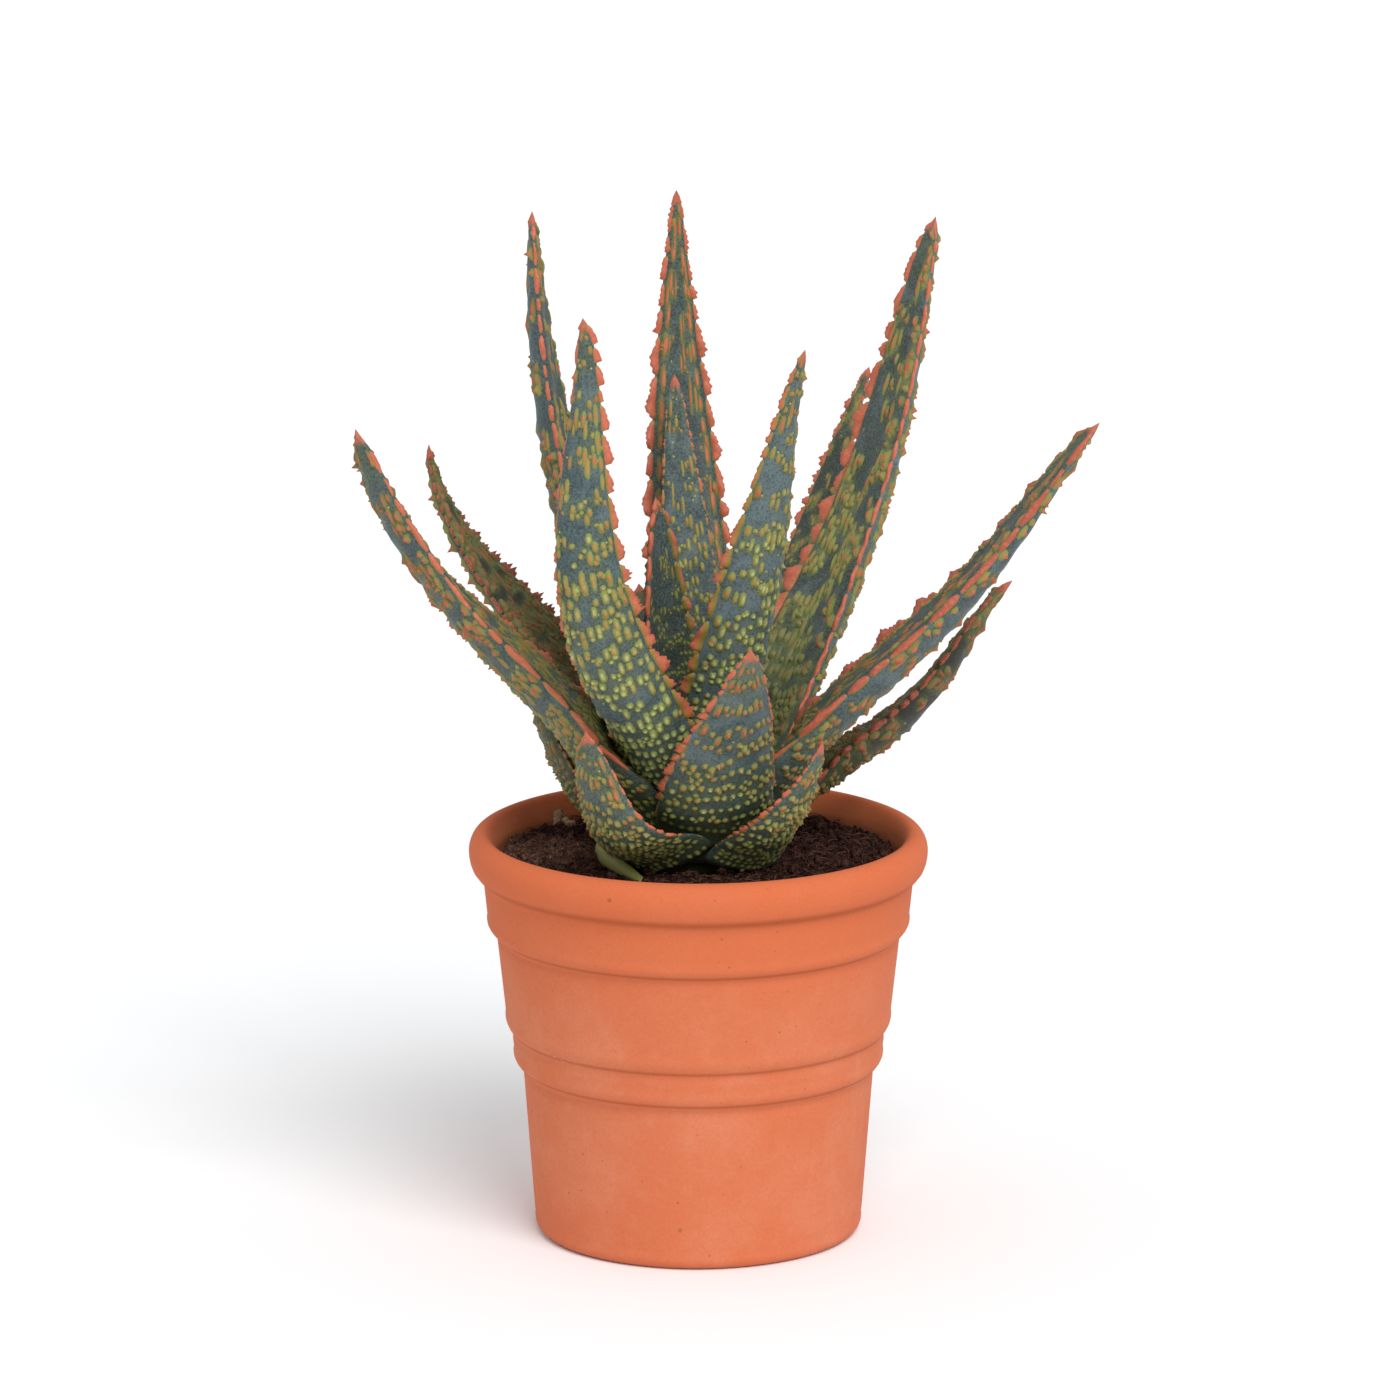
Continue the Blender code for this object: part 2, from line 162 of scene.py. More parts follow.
# Camera and key light: places in metres, the sensor in millimetres, frame and focal length in pixels
SENSOR_WIDTH = 36.0
FRAME_PIXELS = 1400
FOCAL_PIXELS = 9000
CAMERA_PITCH = 13.2
CAMERA_PLACE = (0.00057, -2.4826262, 0.737)
KEY_PLACE = (0.55, -1.3, 1.5)

# name, azimuth, azimuth of the base, base radius, length, four leans from base to tip, drift,
# widths at the base and in the blade, thickness, channel half angle, twists at the middle and the
# tip, fullness of the tip, tooth height
# Azimuths go from +X towards +Y, and leans are from upright.
LEAVES = (
    ("leaf_left_long", 179, 220, 23.5, 146, (2, 43, 39, 15), -1, (22, 31), 7.6, 34, (4, 33), 6.0, 2.2),
    ("leaf_left_back", 161, 143, 18.4, 122, (23, 39, 40, 3), 1, (17, 18), 6.0, 34, (-18, 0), 1.8, 1.6),
    ("leaf_front_left", 233, 269, 17.8, 169, (18, 36, 3, 12), -2, (24, 20), 7.6, 32, (37, 21), 2.4, 2.4),
    ("leaf_tall_left", 177, 182, 15.3, 174, (-1, 17, 10, 3), -1, (21, 28), 8.0, 32, (-5, 0), 6.4, 2.0),
    ("leaf_tall_centre", 99, 83, 12.0, 172, (22, 25, 12, -4), 1, (18, 22), 7.0, 30, (4, 10), 1.5, 2.0),
    ("leaf_inner_back", 101, 88, 8.2, 114, (10, 19, 22, 11), 1, (13, 15), 4.5, 36, (3, -20), 2.6, 1.2),
    ("leaf_heart", 147, 162, 4.8, 77, (13, 9, 2, 7), 0, (8, 18), 3.2, 44, (-3, 0), 4.6, 0.8),
    ("leaf_front_right", 307, 294, 12.0, 142, (-4, 20, 16, 26), 3, (20, 22), 7.0, 32, (0, 14), 1.5, 1.8),
    ("leaf_tall_right", 46, 59, 16.0, 181, (35, 37, 22, 22), 1, (24, 25), 8.0, 32, (-18, -6), 4.6, 2.2),
    ("leaf_right_back", 67, 76, 22.0, 155, (40, 48, 42, 47), -3, (15, 15), 6.0, 34, (-11, 0), 1.4, 1.8),
    ("leaf_right_long", 352, 325, 20.4, 156, (7, 47, 39, 42), 1, (23, 23), 8.0, 34, (4, 13), 5.8, 2.2),
    ("leaf_right_low", 4, 29, 24.0, 100, (17, 57, 37, 53), 0, (18, 20), 7.0, 34, (-10, -14), 4.8, 2.0),
    ("leaf_front_small", 283, 280, 25.0, 82, (18, 30, 37, 21), 3, (28, 30), 5.0, 34, (12, 16), 3.4, 1.4),
    ("leaf_sheath_left", 226, 246, 26.9, 56, (46, 47, 20, 18), 0, (32, 32), 4.0, 40, (-12, 8), 1.0, 1.0),
    ("leaf_sheath_right", 313, 298, 27.0, 54, (40, 44, 35, 21), 0, (23, 23), 4.0, 38, (12, 21), 0.9, 1.0),
    ("leaf_left_low", 181, 178, 25.8, 50, (30, 28, 25, 5), 0, (15, 17), 5.0, 36, (8, 23), 1.2, 1.2),
    ("leaf_back_left", 135, 141, 23.0, 80, (34, 52, 60, 50), 2, (18, 20), 7.0, 34, (0, 0), 2.4, 2.0),
    ("leaf_back_right", 99, 105, 25.2, 84, (34, 46, 54, 48), 2, (20, 22), 7.0, 34, (0, 0), 2.4, 2.0),
    ("leaf_back_low", 66, 62, 27.5, 60, (48, 56, 52, 36), 0, (20, 22), 5.0, 38, (0, 0), 1.2, 1.4),
    ("leaf_back_sheath", 122, 120, 27.0, 54, (48, 52, 44, 28), 0, (24, 26), 4.5, 40, (0, 0), 1.2, 1.2),
)


class Look(NamedTuple):
    """How one leaf differs from the rest. Pairs are for the margins at +u and -u, unless said otherwise."""
    density: float = 0.62  # how full its bands of spots are
    redness: float = 0.5  # of the spots
    age: float = 0.25  # how brown and dark its skin is, with painted shade on the old leaves that lie in shade
    shade: float = 0.7  # how olive its inner face is, and how much painted shade lies low on it
    bloom: float = 0.0  # how waxy its skin is
    spots: tuple = (0.9, 0.9)  # sizes of the spots on the inner and the outer face
    streak: float = 0.0  # how much longer the spots get towards the tip
    pitch: float = 1.0  # how far apart the bands of spots are
    foot: float = 0.0  # how many millimetres more of its foot get painted shade and no spots
    lobe: float = 7.0  # length of the horny lobes
    reaches: tuple = (1.0, 1.0)  # how far they stand out
    teeth: tuple = (0.3, 0.3)  # how deep the teeth on them are cut
    upper: tuple = (0.0, 0.0)  # how much the lobes' length and the cuts grow towards the tip
    hook: float = 0.5  # how much the lobes lean towards the base
    roots: tuple = (0.7, 0.7)  # how far out their olive roots go; on margins in shade they spread further as painted shade
    thick: float = 1.0  # how thick they are
    bars: tuple = (0.0, 0.0)  # how many coral bars lie beside the margins
    crusts: tuple = (0.2, 0.2)  # how many rough lumps lie there


LEAF_LOOKS = {
    "leaf_left_long": Look(
        0.78, 0.55, 0.20, 0.7, -0.6, (0.9, 0.98), 0.8, lobe=10.0, reaches=(0.6, 1.6), teeth=(0.12, 0.35),
        hook=0.2, roots=(0.45, 0.8), thick=1.3, crusts=(0.6, 1.0)),
    "leaf_left_back": Look(
        0.95, 0.95, 1.00, 0.8, -0.4, (0.9, 0.9), 0.9, lobe=4.5, reaches=(1.1, 2.0), teeth=(0.5, 0.5),
        hook=0.2, thick=1.1, crusts=(0.8, 0.8)),
    "leaf_front_left": Look(
        0.86, 0.16, 0.00, 0.5, 0.0, (0.9, 1.08), 0.40, 0.92, lobe=6.8, reaches=(1.7, 0.7),
        teeth=(0.30, 0.5), upper=(0.5, -1.2), hook=1.1, roots=(1.2, 0.6), crusts=(0.0, 0.3)),
    "leaf_tall_left": Look(
        0.46, 0.38, 0.10, 0.6, -0.4, (0.9, 0.9), 0.8, lobe=8.5, reaches=(1.0, 1.1), hook=0.4,
        roots=(0.6, 0.6), bars=(0.15, 0.0), crusts=(0.5, 0.4)),
    "leaf_tall_centre": Look(
        0.36, 0.70, 0.08, 0.5, 0.0, (0.80, 0.9), 1.6, 1.25, lobe=8.4, reaches=(1.7, 1.6),
        teeth=(0.13, 0.13), upper=(0.2, 3.0), hook=0.8, roots=(0.7, 0.7), bars=(0.9, 0.9),
        crusts=(0.1, 0.1)),
    "leaf_inner_back": Look(
        0.62, 0.16, 0.05, 0.2, 0.2, (0.95, 0.9), 0.3, 1.2, lobe=4.2, reaches=(0.9, 1.1), teeth=(0.4, 0.4),
        crusts=(0.0, 0.0)),
    "leaf_heart": Look(
        0.42, -0.1, -0.60, 0.5, 0.0, (0.70, 0.8), lobe=8.0, reaches=(2.4, 3.2), teeth=(0.12, 0.12),
        hook=0.2, roots=(0.5, 1.2), thick=1.2, crusts=(0.0, 0.0)),
    "leaf_front_right": Look(
        0.80, 0.12, 0.00, 0.5, 0.80, (0.9, 1.02), 0.35, 0.95, lobe=8.0, reaches=(0.6, 1.7),
        teeth=(0.35, 0.2), upper=(0.0, 1.5), hook=0.9, roots=(0.6, 1.6), crusts=(0.2, 0.1)),
    "leaf_tall_right": Look(
        0.74, 0.34, 0.05, 1.0, 0.9, (1.35, 1.0), 1.2, 1.25, lobe=9.5, reaches=(1.9, 0.8),
        teeth=(0.13, 0.1), hook=0.0, roots=(0.9, 0.45), thick=0.95, crusts=(0.2, 0.7)),
    "leaf_right_back": Look(
        0.60, 0.40, 0.40, 1.0, 0.0, (0.95, 0.9), 0.2, lobe=6.0, reaches=(1.6, 1.0), teeth=(0.4, 0.4),
        crusts=(0.3, 0.3)),
    "leaf_right_long": Look(
        0.46, 0.95, 0.05, 0.7, 0.05, (0.92, 1.0), 1.4, 1.3, lobe=12.0, reaches=(1.9, 0.65),
        teeth=(0.15, 0.08), hook=0.1, roots=(0.5, 0.4), thick=1.5, crusts=(1.0, 0.4)),
    "leaf_right_low": Look(
        0.62, 0.90, 1.10, 0.8, -0.3, (0.9, 0.9), 0.8, lobe=6.5, reaches=(1.4, 0.8), teeth=(0.4, 0.2),
        hook=0.2, roots=(0.5, 0.3), thick=1.2, crusts=(0.5, 0.4)),
    "leaf_front_small": Look(
        1.10, 0.42, 0.12, 0.6, 0.45, (0.9, 1.12), pitch=1.42, foot=11.0, lobe=4.8, reaches=(1.5, 1.7),
        teeth=(0.35, 0.30), hook=0.8, roots=(0.5, 0.5), crusts=(0.0, 0.0)),
    "leaf_sheath_left": Look(
        1.05, 0.34, 0.20, 0.6, -0.1, (0.9, 1.08), pitch=0.95, foot=-4.0, lobe=4.0, reaches=(1.2, 0.9),
        roots=(0.4, 0.7), crusts=(0.0, 0.2)),
    "leaf_sheath_right": Look(
        1.15, 0.26, 0.15, 0.6, -0.3, (0.9, 1.08), pitch=0.90, foot=-8.0, lobe=2.8, reaches=(0.9, 1.6),
        teeth=(0.3, 0.5), roots=(0.7, 0.5), crusts=(0.2, 0.0)),
    "leaf_left_low": Look(
        0.90, 0.45, 0.50, 0.7, 0.0, (0.8, 0.85), lobe=3.6, reaches=(0.8, 1.0), teeth=(0.4, 0.4)),
}


def smooth(value):
    """Ease from 0 to 1, for numbers and arrays."""
    value = np.clip(value, 0.0, 1.0)
    return value * value * (3 - 2 * value)


def colour(name, description, value):
    """A colour property, linear."""
    return bpy.props.FloatVectorProperty(name=name, description=description, subtype="COLOR",
                                         size=3, min=0.0, max=1.0, default=value)


def length(name, description, value, low=0.0, high=10.0):
    """A length property, given in millimetres and held in metres."""
    return bpy.props.FloatProperty(name=name, description=description, subtype="DISTANCE", unit="LENGTH",
                                   default=value * MM, min=low * MM, max=high * MM, precision=5)


def strength(name, description, value):
    """A factor that is never below zero."""
    return bpy.props.FloatProperty(name=name, description=description, default=value, min=0.0)


def count(name, description, value):
    """A number of copies."""
    return bpy.props.IntProperty(name=name, description=description, default=value, min=0)


class PotLook(bpy.types.PropertyGroup):
    """Colours and wear of the terracotta, with its painted shade and painted light."""
    clay: colour("Clay", "Colour of the fired clay", (0.63, 0.158, 0.064))
    rim: colour("Rim", "Colour of the clay at the rim", (0.63, 0.142, 0.050))
    chalk: colour("Chalk", "Pale bloom of lime on the clay", (0.72, 0.31, 0.19))
    # Painted light: a brighter clay for the light that falls on the inner wall under the rim
    dry_and_lit: colour("Dry clay", "Brighter clay inside the rim", (0.92, 0.27, 0.11))
    damp: colour("Damp clay", "Clay darkened by wet soil inside the rim", (0.26, 0.075, 0.03))
    # Painted shade: a darker clay colour laid in the creases between the bands
    crease: colour("Crease", "Deeper clay in the creases between the bands", (0.36, 0.072, 0.016))
    grain: length("Grain", "Height of the grain in the clay", 0.12)


class SoilLook(bpy.types.PropertyGroup):
    """Colours and crumbs of the potting mix."""
    peat: colour("Peat", "Colour of most of the mix", (0.022, 0.0080, 0.0062))
    pale: colour("Pale crumbs", "Colour of the driest crumbs", (0.15, 0.066, 0.050))
    fibre: colour("Fibres", "Colour of the coir fibres", (0.19, 0.090, 0.062))
    # Partly painted light: the straw is brightened for the light that falls on the mound
    lit_straw: colour("Straw", "Colour of the fine dry fibres on the mound", (0.42, 0.23, 0.155))
    lump: colour("Lump", "Colour of the one tan lump", (0.66, 0.42, 0.25))
    clods: count("Clods", "Rounded lumps in the soil's surface", 4200)
    crumbs: count("Crumbs", "Loose crumbs on top", 520)
    fibres: count("Loose fibres", "Loose fibres on top", 900)


class LeafLook(bpy.types.PropertyGroup):
    """Colours of the leaf skin, with its painted shade, and the relief of its spots."""
    skin: colour("Skin", "Blue-green skin", (0.048, 0.078, 0.080))
    bloom: colour("Bloom", "Waxy pale skin", (0.120, 0.165, 0.170))
    inner: colour("Inner face", "Skin of the inner face", (0.038, 0.054, 0.036))
    base: colour("Leaf base", "Skin near the base", (0.080, 0.108, 0.058))
    # Painted shade: this dark colour stands for the shade where the leaves meet the soil and low on their
    # inner faces
    foot: colour("Leaf foot", "Dark skin where a leaf meets the soil", (0.034, 0.042, 0.013))
    # Partly painted shade: near black for the old leaves that lie in shade
    old_and_shaded: colour("Old skin", "Skin of old leaves", (0.024, 0.020, 0.010))
    olive: colour("Olive skin", "Skin of the tips and around the spots", (0.110, 0.125, 0.034))
    rim: colour("Spot rim", "Edge of the spots", (0.215, 0.245, 0.055))
    # Partly a painted highlight: the blue in it stands for glints on the domes
    pale: colour("Pale spot", "Middle of the palest spots", (0.42, 0.46, 0.19))
    orange: colour("Orange spot", "Middle of the spots in between", (0.42, 0.195, 0.055))
    red: colour("Red spot", "Middle of the red spots", (0.50, 0.120, 0.062))
    coral: colour("Coral bar", "Bars beside the margins", (0.56, 0.135, 0.068))
    spot_height: strength("Spot height", "Height of a spot as a share of its half width", 0.95)
    row_step: length("Row step", "Distance between rows of points along a leaf", 1.7, 0.3)
    column_step: length("Column step", "Distance between points across a leaf at its widest", 1.4, 0.3)


class HornLook(bpy.types.PropertyGroup):
    """Colours and sizes of the horny lobes on the margins."""
    horn: colour("Horn", "Salmon-red horn", (0.53, 0.125, 0.060))
    pale_horn: colour("Pale horn", "Lighter flecks in the horn", (0.70, 0.25, 0.15))
    old_horn: colour("Old horn", "Horn of old leaves", (0.32, 0.062, 0.034))
    # Also painted shade: the olive spreads over whole lobes on margins in shade
    root: colour("Horn root", "Olive line between horn and skin", (0.26, 0.20, 0.035))
    gap: length("Gap", "Distance between lobes", 0.45, 0.1)
    thickness: length("Thickness", "Thickness of a lobe at its root", 1.4, 0.3)
    tooth_pitch: length("Tooth pitch", "Distance between the small teeth on a lobe", 1.7, 0.5)


class StageLook(bpy.types.PropertyGroup):
    """Floor and lights."""
    floor: colour("Floor", "Pale floor", (0.92, 0.92, 0.92))
    haze: colour("Sky colour", "Colour of the even light", (0.96, 0.98, 1.0))
    sky: strength("Sky", "Strength of the even light", 0.72)
    key: strength("Key", "Strength of the key light", 1.95)
    spread: bpy.props.FloatProperty(name="Spread", description="Angle that the key light fills",
                                    subtype="ANGLE", unit="ROTATION", default=math.radians(34),
                                    min=0.0, max=math.pi)


class Wire:
    """One output of a node. Sums on it are written as Python expressions."""

    def __init__(self, finish, socket):
        self.finish = finish
        self.socket = socket

    def math(self, operation, first, second):
        return self.finish.node("ShaderNodeMath", {"operation": operation}, {0: first, 1: second})

    def __add__(self, other):
        return self.math("ADD", self, other)

    __radd__ = __add__

    def __sub__(self, other):
        return self.math("SUBTRACT", self, other)

    def __rsub__(self, other):
        return self.math("SUBTRACT", other, self)

    def __mul__(self, other):
        return self.math("MULTIPLY", self, other)

    __rmul__ = __mul__

    def at_least(self, other):
        return self.math("MAXIMUM", self, other)

    def step(self, low, high):
        """0 below low, 1 above high, and a smooth rise between, or a fall where high is the lower one."""
        return self.finish.node("ShaderNodeMapRange", {"interpolation_type": "SMOOTHSTEP"},
                                {"Value": self, "From Min": low, "From Max": high})


class Finish:
    """A material in the making."""

    def __init__(self, name):
        self.material = bpy.data.materials.new(name)
        self.material.use_nodes = True
        self.tree = self.material.node_tree
        self.shader = self.tree.nodes["Principled BSDF"]
        self.place = self.node("ShaderNodeTexCoord", output="Object")

    def node(self, kind, settings=None, inputs=None, output=0):
        """Add a node, set what it is, then its sockets, and return one of its outputs."""
        node = self.tree.nodes.new(kind)
        for name, value in (settings or {}).items():
            setattr(node, name, value)
        for name, value in (inputs or {}).items():
            self.feed(node.inputs[name], value)
        return Wire(self, node.outputs[output])

    def feed(self, socket, value):
        """Link a wire to a socket, or set the socket's value."""
        if isinstance(value, Wire):
            self.tree.links.new(value.socket, socket)
        elif hasattr(value, "__len__") and len(value) == 3 and socket.type == "RGBA":
            socket.default_value = (*value, 1.0)
        else:
            socket.default_value = value

    def mix(self, share, first, second):
        """Blend two colours."""
        return self.node("ShaderNodeMix", {"data_type": "RGBA"}, {0: share, 6: first, 7: second}, output=2)

    def noise(self, grain, detail=2.0, distortion=0.0, roughness=0.5):
        """Cloudy noise with features of about this size in millimetres."""
        return self.node("ShaderNodeTexNoise", None,
                         {"Vector": self.place, "Scale": 1.0 / (grain * MM), "Detail": detail,
                          "Roughness": roughness, "Distortion": distortion})

    def cells(self, grain):
        """Distance to the nearest of scattered points about this far apart in millimetres."""
        return self.node("ShaderNodeTexVoronoi", None, {"Vector": self.place, "Scale": 1.0 / (grain * MM)},
                         output="Distance")

    def attribute(self, name):
        """A number that the mesh holds at its points."""
        return self.node("ShaderNodeAttribute", {"attribute_name": name}, output="Fac")

    def vector(self, operation, first, second=None, output="Vector"):
        """A sum on vectors."""
        inputs = {0: first} if second is None else {0: first, 1: second}
        return self.node("ShaderNodeVectorMath", {"operation": operation}, inputs, output)

    def near(self, point, stretch=(1.0, 1.0, 1.0)):
        """Distance in millimetres to a point, measured with stretched axes."""
        away = self.vector("SUBTRACT", self.place, Vector(point) * MM)
        scaled = self.vector("MULTIPLY", away, Vector(stretch) / MM)
        return self.vector("LENGTH", scaled, output="Value")

    def bump(self, height, distance):
        """A normal from a height between 0 and 1 that stands for this many millimetres."""
        return self.node("ShaderNodeBump", None,
                         {"Height": height, "Distance": distance * MM, "Strength": 1.0})

    def surface(self, **sockets):
        """Feed the shader's own sockets, named with underscores."""
        for name, value in sockets.items():
            self.feed(self.shader.inputs[name.replace("_", " ")], value)
        return self.material


def dim(tint, share):
    """A darker colour of the same tint."""
    return [channel * share for channel in tint]


def terracotta(look):
    """Matte fired clay: fine grain, pale bloom, small pits, painted shade in the creases, and inside the
    rim painted light at the top and damp above the soil.
    """
    clay = Finish("terracotta")
    height = clay.node("ShaderNodeSeparateXYZ", None, {0: clay.place}, output="Z") * (1.0 / MM)
    inside = clay.attribute("inside")
    clouds = clay.noise(26.0, detail=4.0, roughness=0.6)
    mottle = clay.noise(5.0, detail=5.0, roughness=0.65)
    grain = clay.noise(0.9, detail=3.0, roughness=0.7)
    pit = clay.cells(3.4).step(0.13, 0.04) * clay.noise(7.0).step(0.5, 0.62)
    base = clay.mix(height.step(70.0, 112.0), look.clay, look.rim)
    bloom = clouds.step(0.38, 0.80) * 0.30 + mottle.step(0.45, 0.85) * 0.18 + 0.05
    bloom = bloom * height.step(112.0, 60.0).at_least(0.25)
    base = clay.mix(bloom, base, look.chalk)
    base = clay.mix(grain.step(0.35, 0.7) * 0.22, base, dim(look.clay, 0.72))
    scuff = clay.noise(1.1, detail=3.0).step(0.48, 0.62)
    scuff = scuff * clay.near(SCUFF_PLACE, (0.12, 0.12, 1.0)).step(1.0, 0.5)
    base = clay.mix(scuff * 0.9, base, look.chalk)
    # Painted shade in the creases under the rim, the collar, the body and the band
    for level, spread, share in CREASE_SHADES:
        band = height.step(level - spread, level) * height.step(level + spread, level)
        base = clay.mix(band * (1 - inside) * share, base, look.crease)
    fleck = clay.near(RIM_FLECK_PLACE).step(0.8, 0.4) + clay.near(FOOT_FLECK_PLACE).step(1.1, 0.6)
    base = clay.mix((pit * 0.6).at_least(fleck * 0.6), base, look.damp)
    # Painted light on the inner wall just under the rim
    base = clay.mix(inside * height.step(POT_HEIGHT, POT_HEIGHT - 5.0), base, look.dry_and_lit)
    wet = inside * (height + clouds * 3.0).step(SOIL_LEVEL + 3.4, SOIL_LEVEL + 0.6)
    base = clay.mix(wet * 0.75, base, look.damp)
    relief = grain * 0.5 + mottle * 0.5 - pit * 0.9
    return clay.surface(Base_Color=base, Roughness=clouds.step(0.2, 0.8) * 0.12 + 0.80,
                        Normal=clay.bump(relief, look.grain / MM), Specular_IOR_Level=0.25)


def potting_soil(look):
    """Dark peat with paler, drier crumbs and reddish fibres, painted light on the patch on the left and
    painted shade between the crumbs.
    """
    soil = Finish("potting soil")
    tone = soil.attribute("tone")
    patches = soil.noise(3.0, detail=6.0, roughness=0.75)
    grain = soil.noise(0.8, detail=4.0, roughness=0.8)
    fleck = soil.noise(0.95, detail=3.0, roughness=0.75, distortion=2.0)
    # A drier patch on the left, which also gets painted light for the light that falls there
    dry_and_lit = soil.near(DRY_PLACE).step(26.0, 12.0)
    crumbly = patches.step(0.42, 0.70) * 0.50 + grain.step(0.50, 0.66) * 0.45
    base = soil.mix(crumbly, look.peat, look.pale)
    base = soil.mix((fleck.step(0.53, 0.63) * 0.85).at_least(dry_and_lit * 0.45), base, look.fibre)
    # Straw on the patch on the left, partly painted light
    base = soil.mix((fleck + (patches - 0.5) * 0.3).step(0.47, 0.58) * dry_and_lit * 0.9, base, look.lit_straw)
    # Painted shade: near-black specks for the shade between the crumbs
    base = soil.mix(grain.step(0.53, 0.38), base, dim(look.peat, 0.12))
    base = soil.mix(tone.step(0.15, 1.0) * 0.5, base, look.pale)
    base = soil.mix(tone.step(1.4, 2.0), base, look.fibre)
    base = soil.mix(tone.step(2.4, LUMP_TONE) * fleck.step(0.36, 0.50), base, look.lump)
    return soil.surface(Base_Color=base, Roughness=1.0, Specular_IOR_Level=0.08,
                        Normal=soil.bump(patches * 0.5 + fleck * 0.5, 1.6))


def leaf_skin(look):
    """Waxy blue-green skin with raised spots: an olive edge and a yellow to red middle. Painted shade
    darkens the leaves' feet.
    """
    skin = Finish("leaf skin")
    spot = skin.attribute("spot")
    warmth = skin.attribute("warmth")
    along = skin.attribute("along")
    tip = skin.attribute("tip")
    age = skin.attribute("age")
    inner = skin.attribute("inner")
    clouds = skin.noise(9.0, detail=4.0, roughness=0.6)
    mottle = skin.noise(1.3, detail=3.0, roughness=0.65)
    grain = skin.noise(0.7, detail=3.0, roughness=0.85)
    ring = skin.attribute("halo") + (mottle - 0.5) * 0.8
    low = along + mottle * 6.0
    base = skin.mix(inner, look.skin, look.inner)
    base = skin.mix((clouds + skin.attribute("bloom") * 0.25).step(0.42, 0.75), base, look.bloom)
    # Less of the paler base colour on the inner faces: painted shade, as they lie in shade low down
    base = skin.mix(along.step(38.0, 6.0) * (0.6 - inner * 0.5), base, look.base)
    # Old skin, partly painted shade on the shaded old leaves
    base = skin.mix(age.step(0.0, 1.0) * (mottle.step(0.15, 0.6) * 0.4 + 0.6), base, look.old_and_shaded)
    base = skin.mix((tip + mottle * 14.0).step(34.0, 14.0) * (age * 0.5 + 0.35), base, look.olive)
    base = skin.mix(ring.step(0.20, 0.95) * (inner * 0.10 + 0.55), base, look.olive)
    base = skin.mix(ring.step(0.80, 1.15) * inner * 0.7, base, look.rim)
    base = skin.mix(grain.step(0.46, 0.64) * (0.6 - age * 0.5), base, look.bloom)
    base = skin.mix(grain.step(0.52, 0.36) * 0.65, base, dim(look.skin, 0.3))
    # Painted shade at the foot of each leaf and low on its inner face
    shaded = (low.step(15.0, 6.0) * 0.85).at_least(inner * along.step(70.0, 20.0) * 0.5)
    base = skin.mix(shaded, base, look.foot)
    palest = skin.mix(inner * 0.75, look.pale, look.rim)
    middle = skin.mix(warmth.step(-0.05, 0.50), palest, look.orange)
    middle = skin.mix(warmth.step(0.40, 0.85), middle, look.red)
    middle = skin.mix(warmth.step(1.1, 1.4), middle, look.coral)
    middle = skin.mix(grain.step(0.5, 0.2) * 0.3, middle, look.rim)
    edge = skin.mix(warmth.step(0.5, 1.1) * 0.6, look.rim, dim(look.orange, 0.45))
    ragged = spot + (skin.noise(0.8, detail=2.0) - 0.5) * 0.9
    spotted = skin.mix(ragged.step(0.10, 0.75), edge, middle)
    # Painted shade on the spots: at the foot, on old shaded leaves and low on the inner face
    shaded = (low.step(12.0, 5.0) * 0.7).at_least(age * 0.25)
    shaded = shaded.at_least(inner * along.step(78.0, 30.0) * 0.55)
    spotted = skin.mix(shaded, spotted, look.foot)
    base = skin.mix(ragged.step(-0.85, -0.25), base, spotted)
    base = skin.mix((tip + (mottle - 0.5) * 3.0).step(5.0, 2.5) * 0.9, base, look.red)
    return skin.surface(Base_Color=base, Roughness=0.60 - clouds.step(0.3, 0.7) * 0.12,
                        Normal=skin.bump(grain * 0.35 + mottle * 0.65, 0.16), Specular_IOR_Level=0.40)


def horn(look):
    """Salmon horn with an olive root, spread wider as painted shade on margins in shade."""
    lobe = Finish("horn")
    reach = lobe.attribute("reach")
    mottle = lobe.noise(1.3, detail=3.0, roughness=0.6)
    grain = lobe.noise(0.35, detail=2.0)
    base = lobe.mix(lobe.attribute("age").step(0.1, 0.9), look.horn, look.old_horn)
    base = lobe.mix(mottle.step(0.42, 0.8) * 0.5, base, look.pale_horn)
    base = lobe.mix(grain.step(0.52, 0.25) * 0.4, base, look.old_horn)
    base = lobe.mix((reach + (mottle - 0.5) * 0.8).step(1.25, 0.35), base, look.root)
    return lobe.surface(Base_Color=base, Roughness=0.52, Specular_IOR_Level=0.4,
                        Normal=lobe.bump(mottle, 0.1))


def stem_skin(look):
    """Dark fibrous skin of the short stem, darkened with painted shade for the shade of the leaves."""
    stem = Finish("stem skin")
    fibres = stem.noise(2.2, detail=5.0, roughness=0.7)
    base = stem.mix(fibres.step(0.35, 0.7), dim(look.foot, 0.4), look.old_and_shaded)
    return stem.surface(Base_Color=base, Roughness=1.0, Specular_IOR_Level=0.05,
                        Normal=stem.bump(fibres, 1.2))


